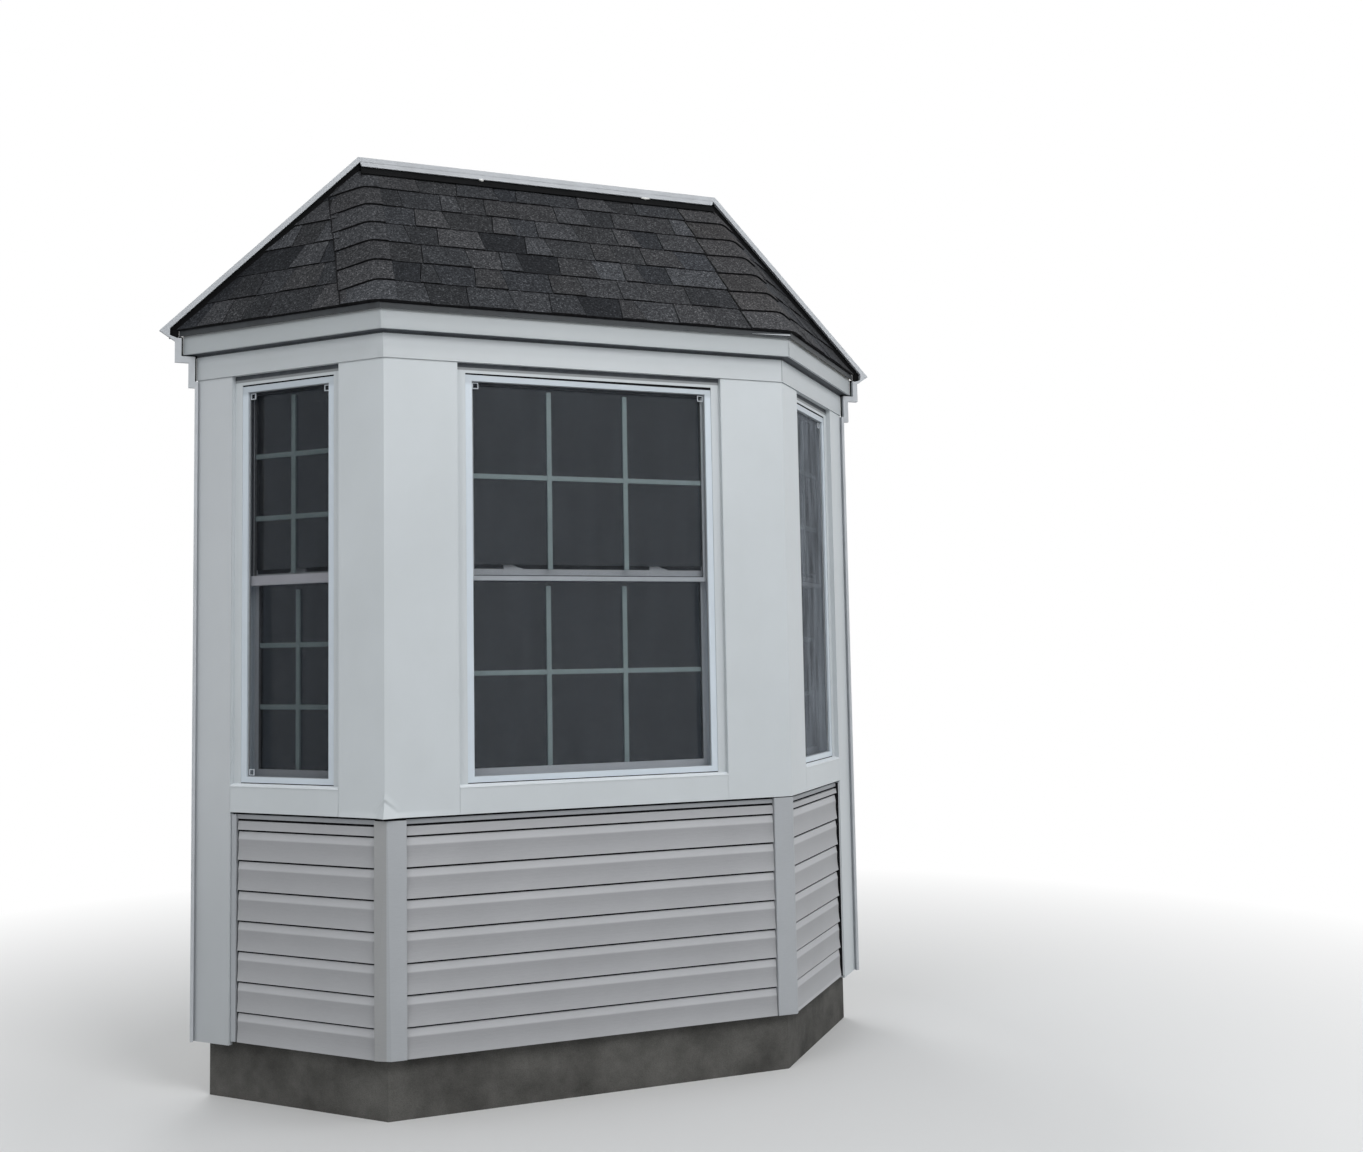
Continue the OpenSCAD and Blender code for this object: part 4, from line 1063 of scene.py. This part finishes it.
def apron():
    """Corner posts, lap siding, the channel that holds its ends, and the black backing behind its slits, which is
    painted shade.
    """
    posts, heads = corner_posts()
    lips, uprights, backing = shapes(3)
    lip_z = (band_z - LIP_SLIT - LIP_H, band_z - LIP_SLIT)
    back_d = BACKING_T - BOARD_T
    for name, face in FACES.items():
        if name == "front":
            a0, a1 = POST_FRONT_W, front.length - POST_FRONT_W
            across, ends = (a0, a1), inset((a0, a1), POST_GAP)
        else:
            a0, a1 = POST_SIDE_W[name], SIDE_OPENING[1]
            upright, reach = (a1 - EDGE_SLIT - LIP_W, a1 - EDGE_SLIT), UPRIGHT_OUT[name] - BOARD_T
            uprights.box(face.at, upright, (back_d, reach), (siding_z, lip_z[1]))
            if name == "right":
                backing.box(
                    face.at, (upright[0] - EDGE_SHADE, upright[0]), (back_d, reach - CLEAR), (siding_z, lip_z[1]))
            across, ends = (a0, upright[0]), (a0 + POST_GAP / 2, upright[0] - LIP_SLIT)
        lips.box(face.at, across, (back_d, LIP_OUT - BOARD_T), lip_z)
        backing.box(face.at, (a0, a1), (-BOARD_T, back_d), (siding_z, band_z))
        laps = siding_courses(face, ends, COURSE_LIFT[name], lip_z[0] - LIP_SLIT, BUTT_SLIT[name])
        look = SIDING_RIGHT if name == "right" else SIDING
        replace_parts(laps.piece(f"siding_courses_{name}", look, "siding"), f"siding_{name}")
    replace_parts(posts.piece("corner_posts", POST_VINYL, "siding_trim", bevel=0.001), "siding_corners")
    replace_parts(lips.piece("siding_lips", SHADED_LIP_VINYL, "siding_trim", bevel=0.0008), "siding_channels")
    uprights.piece("siding_end_lips", SIDING_TRIM, "siding_trim", bevel=0.0008)
    backing.piece("siding_slit_shade", ASPHALT_AND_SHADE, "siding")
    heads.piece("post_head_shades", ASPHALT_AND_SHADE, "siding_trim")


# Windows
SHEET_GLASS, SPACER_W = 0.003, 0.007
BAR_HALF, BAR_THICK, BAR_RISE = 0.0094, 0.004, 0.016
# The front window's bars sit left of the middle, and all bars stop short of the heads
BAR_SHIFT = {"front": -0.010, "left": 0.0, "right": 0.0}
UPPER_BAR_GAP, LOWER_BAR_GAP = 0.012, 0.024
TAB, TAB_BAR = 0.024, 0.003
SCREEN_IN, SCREEN_T = 0.010, 0.008
# Height of the dark strip on top of the lower sash's rail, painted shade of the room behind the locks
SEAL_H = 0.018
NOSE_OUT, NOSE_BACK, NOSE_H = 0.0030, -0.0200, 0.0042
LEFT_RAIL_H = 2.1 * UPPER_MEETING_H
# Dark strips on the left window's wall-side stile: their spans in from the stile's edge, and how far they stand out
STILE_STRIPS, STILE_STRIP_OUT = ((0.0005, 0.0095), (0.0165, 0.0265)), 0.0012
# Seal over the glass of an upper meeting rail: how far in it starts and how high it is
RAIL_SEAL_IN, RAIL_SEAL_H = 0.004, 0.0026
# The inner pane of an upper unit starts PANE_DOWN below the top of the lower sash's seal, its bars BAR_DOWN
# below the lower sash's head
PANE_DOWN, BAR_DOWN = 0.0025, 0.002
NOSE_DOWN, POCKET_GAP = 0.002, 0.0003
LOCK_OUTLINE = ((0, 0), (0, 0.015), (0.040, 0.016), (0.056, 0.008), (0.077, 0.003), (0.077, 0))
LOCK_HALF, FRONT_LOCKS = 0.009, (0.477, 1.084)


def glazing():
    """Sealed units with bars between their panes, insect screens and sash locks.

    The inner pane of the upper unit starts above the lower sash's rail and seal."""
    clear, dark, bars, spacers, screens, tabs, locks, seals_and_shades, noses, rails = shapes(10)
    meshes = dict(zip(FACES, shapes(3)))
    for name, face in FACES.items():
        frame_low, frame_high = face.span(f"frame_{name}")
        up_low, up_high = face.span(f"upper_sash_{name}")
        lo_low, lo_high = face.span(f"lower_sash_{name}")
        columns, rows = (3, 2) if name == "front" else (2, 3)
        rise = BAR_RISE if name == "front" else 0
        for low, high, z0, z1, split, bar_z0, bar_gap, bar_rise in (
            (up_low, up_high, up_low[2] + UPPER_MEETING_H, up_high[2] - STILE_W, lo_high[2] + SEAL_H - PANE_DOWN,
             lo_high[2] - BAR_DOWN, UPPER_BAR_GAP, rise),
            (lo_low, lo_high, lo_low[2] + BOTTOM_RAIL_H, lo_high[2] - LOWER_MEETING_H, 0.0,
             lo_low[2] + BOTTOM_RAIL_H, LOWER_BAR_GAP, 0),
        ):
            a0, a1 = inset((low[0], high[0]), STILE_W)
            middle = (low[1] + high[1]) / 2
            d0, d1 = around(middle, GLASS_T / 2)
            grown_a, grown_z = inset((a0, a1), -GLASS_BITE), inset((z0, z1), -GLASS_BITE)
            dark.box(face.at, grown_a, (d0, d0 + SHEET_GLASS), (max(grown_z[0], split), grown_z[1]))
            clear.box(face.at, grown_a, (d1 - SHEET_GLASS, d1), grown_z)
            spacers.bars(face, grown_a, (d0 + SHEET_GLASS, d1 - SHEET_GLASS), grown_z, SPACER_W)
            depth = around(middle, BAR_THICK)
            uprights = [around(a0 + (a1 - a0) * c / columns + BAR_SHIFT[name], BAR_HALF) for c in range(1, columns)]
            for across in uprights:
                bars.box(face.at, across, depth, (bar_z0, z1 - bar_gap))
            stops = [a0] + [end for across in uprights for end in across] + [a1]
            for r in range(1, rows):
                height = around(z0 + (z1 - z0) * r / rows + bar_rise, BAR_HALF)
                for across in zip(stops[::2], stops[1::2]):
                    bars.box(face.at, across, depth, height)

        # the wrapped nose of the sill, under the frame and between the boards
        noses.loft([
            [face.at(a, d, z) for d, z in (
                (NOSE_BACK, frame_low[2] - NOSE_DOWN), (NOSE_BACK, frame_low[2] + POCKET_GAP),
                (NOSE_OUT, sill_z + NOSE_H), (NOSE_OUT, sill_z + HAIR))]
            for a in inset(OPENINGS[name], 3 * HAIR)])

        margin = (TRACK_WALL + FLANGE_W) / 2 + POCKET_GAP
        (a0, a1), (z0, z1) = ((frame_low[i] + margin, frame_high[i] - margin) for i in (0, 2))
        d1 = frame_high[1] - SCREEN_IN
        screens.bars(face, (a0, a1), (d1 - SCREEN_T, d1), (z0, z1), SCREEN_BAR)
        mesh_d = d1 - SCREEN_T / 2
        meshes[name].box(face.at, inset((a0, a1), SCREEN_BAR), around(mesh_d, HAIR), inset((z0, z1), SCREEN_BAR))
        margin = SCREEN_BAR + TAB_BAR
        corners = [(a0 + margin, 1, z1 - margin - TAB), (a1 - margin, -1, z1 - margin - TAB)]
        if name == "left":
            corners.append((a1 - margin, -1, z0 + margin))
        for a, way, z in corners:
            span = (min(a, a + way * TAB), max(a, a + way * TAB))
            for bar_z in (z, z + TAB - TAB_BAR):
                tabs.box(face.at, span, (mesh_d, d1), (bar_z, bar_z + TAB_BAR))
            for bar_a in (span[0], span[1] - TAB_BAR):
                tabs.box(face.at, (bar_a, bar_a + TAB_BAR), (mesh_d, d1), (z + TAB_BAR, z + TAB - TAB_BAR))

        # dark strip over the upper sash's head: painted shade under the frame's head
        out, glass_top = up_high[1], up_high[2] - STILE_W - TUCK
        across = (up_low[0], up_high[0])
        seals_and_shades.box(face.at, across, around(out, TUCK), (glass_top, up_high[2] - TUCK))
        if name == "left":
            # its meeting rail is taller than the others, in a lighter vinyl that is painted light, and its wall-side
            # stile has dark strips
            rail_top = up_low[2] + LEFT_RAIL_H
            rails.box(face.at, inset(across, CLEAR), around(out, TUCK), (up_low[2] + CLEAR, rail_top))
            for a in STILE_STRIPS:
                seals_and_shades.box(
                    face.at, (up_high[0] - a[1], up_high[0] - a[0]), (out - TUCK, out + STILE_STRIP_OUT),
                    (rail_top, glass_top))
        else:
            rail_z = up_low[2] + UPPER_MEETING_H
            seals_and_shades.box(
                face.at, inset(across, STILE_W), (out - RAIL_SEAL_IN, out + 2 * HAIR),
                (rail_z - CLEAR, rail_z + RAIL_SEAL_H))
        lock_d = (lo_low[1] + lo_high[1]) / 2
        # a dark strip on the lower sash's rail, behind the locks: painted shade of the room behind
        seals_and_shades.box(
            face.at, (lo_low[0], lo_high[0]), around(lock_d, TUCK), (lo_high[2], lo_high[2] + SEAL_H))
        middle_lock = ((lo_low[0] + lo_high[0]) / 2 - LOCK_OUTLINE[-1][0] / 2,)
        for start in FRONT_LOCKS if name == "front" else middle_lock:
            locks.loft([
                [face.at(start + a, d, lo_high[2] + z) for a, z in LOCK_OUTLINE]
                for d in around(lock_d, LOCK_HALF)])
    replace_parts(dark.piece("dark_panes", DARK_GLASS, "glass"), "glass")
    clear.piece("clear_panes", CLEAR_GLASS, "glass")
    seals_and_shades.piece("sash_seals", GAP_SHADE, "sash")
    rails.piece("meeting_rail_left", RAIL, "sash", bevel=0.0005)
    bars.piece("grid_bars", GRID, "sash", bevel=0.001)
    spacers.piece("glass_spacers", SPACER, "sash")
    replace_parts(screens.piece("screen_frames", SCREEN_EDGE, "screen", bevel=0.0008), "insect_screens")
    for name, look in (("front", MESH), ("left", SHADED_MESH), ("right", DUSTY_SHEEN_MESH)):
        meshes[name].piece(f"screen_mesh_{name}", look, "screen")
    noses.piece("sill_noses", LIT_SILL_COIL, "trim")
    tabs.piece("screen_tabs", SASH, "screen", bevel=0.0005)
    locks.piece("sash_locks", SASH, "sash", bevel=0.001)


# Oak strips, cut to the shape of the floor
STRIP_W, STRIP_GAP = 0.057, 0.0007
STRIP_LENGTHS, LAST_STRIP, SHORTEST_STRIP, SLIMMEST_STRIP = (0.45, 1.3), 0.9, 0.3, 0.004


def floor_strips():
    shape = Shape()
    floor_z = [corner.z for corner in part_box("floor_boards")]
    y = y0 = trim_y - LINING_FACE

    def half(y):
        return half_front + LINING_FACE * MITRE + (y - y0) / math.tan(BAY_ANGLE)

    while y < wall_y - SLIMMEST_STRIP:
        far = min(y + STRIP_W, wall_y)
        cuts = [-half(y)]
        while cuts[-1] < half(y) - LAST_STRIP:
            cuts.append(cuts[-1] + rng.uniform(*STRIP_LENGTHS))
        if cuts[-1] >= half(y) - SHORTEST_STRIP:
            cuts.pop()
        cuts.append(half(y))
        far_cuts = [-half(far)] + cuts[1:-1] + [half(far)]
        g = STRIP_GAP / 2
        for x0, x1, far0, far1 in zip(cuts, cuts[1:], far_cuts, far_cuts[1:]):
            shape.loft([
                [(x0 + g, y + g, z), (x1 - g, y + g, z), (far1 - g, far - g, z), (far0 + g, far - g, z)]
                for z in floor_z])
        y = far
    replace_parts(shape.piece("floor_strips", OAK, "floor_boards", bevel=0.0008), "floor_boards")


# Camera at the photograph's viewing angle, for a picture of 1363 by 1152
PHOTO_W, PHOTO_H = 1363, 1152
FOCAL_PX = 1339.148
CENTRE_PX = (619.612, 560.334)
CAMERA_PLACE = (-1.7193, -5.2036, 1.6630)
CAMERA_YAW, CAMERA_PITCH, CAMERA_ROLL = 0.353777, 0.072454, -0.015237
SENSOR_W = 36


def camera():
    flat = math.cos(CAMERA_PITCH)
    forward = Vector((math.sin(CAMERA_YAW) * flat, math.cos(CAMERA_YAW) * flat, math.sin(CAMERA_PITCH)))
    level = Vector((math.cos(CAMERA_YAW), -math.sin(CAMERA_YAW), 0))
    upright = level.cross(forward)
    across = math.cos(CAMERA_ROLL) * level + math.sin(CAMERA_ROLL) * upright
    up = -math.sin(CAMERA_ROLL) * level + math.cos(CAMERA_ROLL) * upright
    data = bpy.data.cameras.new("camera")
    data.sensor_width = SENSOR_W
    data.lens = FOCAL_PX * SENSOR_W / PHOTO_W
    data.shift_x = (PHOTO_W / 2 - CENTRE_PX[0]) / PHOTO_W
    data.shift_y = (CENTRE_PX[1] - PHOTO_H / 2) / PHOTO_W
    obj = bpy.data.objects.new("camera", data)
    bpy.context.scene.collection.objects.link(obj)
    turn = Matrix((across, up, -forward)).transposed().to_4x4()
    obj.matrix_world = Matrix.Translation(CAMERA_PLACE) @ turn
    bpy.context.scene.camera = obj


WHITE, PALE_FLOOR, SKY = (1, 1, 1, 1), (0.66, 0.66, 0.66), (0.95, 0.98, 1.0, 1)
FLOOR_RADIUS, FLOOR_FADE = 30, (2.0, 5.5)
# Brightness of the dome at the horizon and overhead
DOME_LOW, DOME_HIGH = 0.34, 0.68
# Name, place, size and power; all aim at the middle of the bay
LAMPS = (
    ("key", (1.8, -6.4, 6.4), 3.6, 268), ("left", (-5.2, -3.8, 5.8), 3.0, 105),
    ("right", (5.2, -2.6, 5.6), 2.6, 60), ("back", (0.5, 7.0, 6.0), 4.0, 160))
LAMP_AIM = Vector((0, 0, 1.8))


def seen_directly(tree):
    """1 for camera, glossy and transmission rays, which show the white background."""
    rays = add_node(tree, "LightPath").outputs
    total = rays["Is Camera Ray"]
    for name in ("Is Glossy Ray", "Is Transmission Ray"):
        total = add_node(tree, "Math", {0: total, 1: rays[name]}, operation="MAXIMUM").outputs["Value"]
    return total


def studio_dome(scene):
    scene.world = bpy.data.worlds.new("studio")
    scene.world.use_nodes = True
    tree = scene.world.node_tree
    coords = add_node(tree, "TexCoord").outputs["Generated"]
    height = add_node(tree, "SeparateXYZ", {"Vector": coords}).outputs["Z"]
    dome = add_node(tree, "MapRange", {"Value": height, "To Min": DOME_LOW, "To Max": DOME_HIGH})
    light = tree.nodes["Background"]
    feed(tree, light.inputs["Color"], SKY)
    feed(tree, light.inputs["Strength"], dome.outputs["Result"])
    white = add_node(tree, "Background", {"Color": WHITE}).outputs["Background"]
    mix = add_node(tree, "MixShader", {"Fac": seen_directly(tree), 1: light.outputs["Background"], 2: white})
    feed(tree, tree.nodes["World Output"].inputs["Surface"], mix.outputs["Shader"])


def pale_floor(scene):
    """A round floor that fades into the white background."""
    bm = bmesh.new()
    bmesh.ops.create_circle(bm, cap_ends=True, segments=96, radius=FLOOR_RADIUS)
    mesh = bpy.data.meshes.new("floor")
    bm.to_mesh(mesh)
    bm.free()
    floor = bpy.data.objects.new("floor", mesh)
    scene.collection.objects.link(floor)
    f = Finish("pale_floor", PALE_FLOOR, 0.9)
    distance = f.node("VectorMath", {0: f.coords}, operation="LENGTH").outputs["Value"]
    fade = f.node("MapRange", {"Value": distance, "From Min": FLOOR_FADE[0], "From Max": FLOOR_FADE[1]})
    share = f.math("MULTIPLY", fade.outputs["Result"], seen_directly(f.tree))
    glow = f.node("Emission", {"Color": WHITE}).outputs["Emission"]
    mix = f.node("MixShader", {"Fac": share, 1: f.shader.outputs["BSDF"], 2: glow})
    feed(f.tree, f.tree.nodes["Material Output"].inputs["Surface"], mix.outputs["Shader"])
    mesh.materials.append(f.material)
    return floor


def stage():
    scene = bpy.context.scene
    studio_dome(scene)
    floor = pale_floor(scene)
    for name, place, size, power in LAMPS:
        data = bpy.data.lights.new(name, "AREA")
        data.size = size
        data.energy = power
        lamp = bpy.data.objects.new(name, data)
        scene.collection.objects.link(lamp)
        lamp.location = place
        lamp.visible_transmission = lamp.visible_glossy = name != "back"
        lamp.rotation_euler = (LAMP_AIM - Vector(place)).to_track_quat("-Z", "Y").to_euler()
    scene.view_settings.view_transform = "Standard"


roof()
wraps()
shade_gaps()
ridge_finish()
corner_caps()
wall_slot_shade()
apron()
glazing()
floor_strips()
camera()
stage()
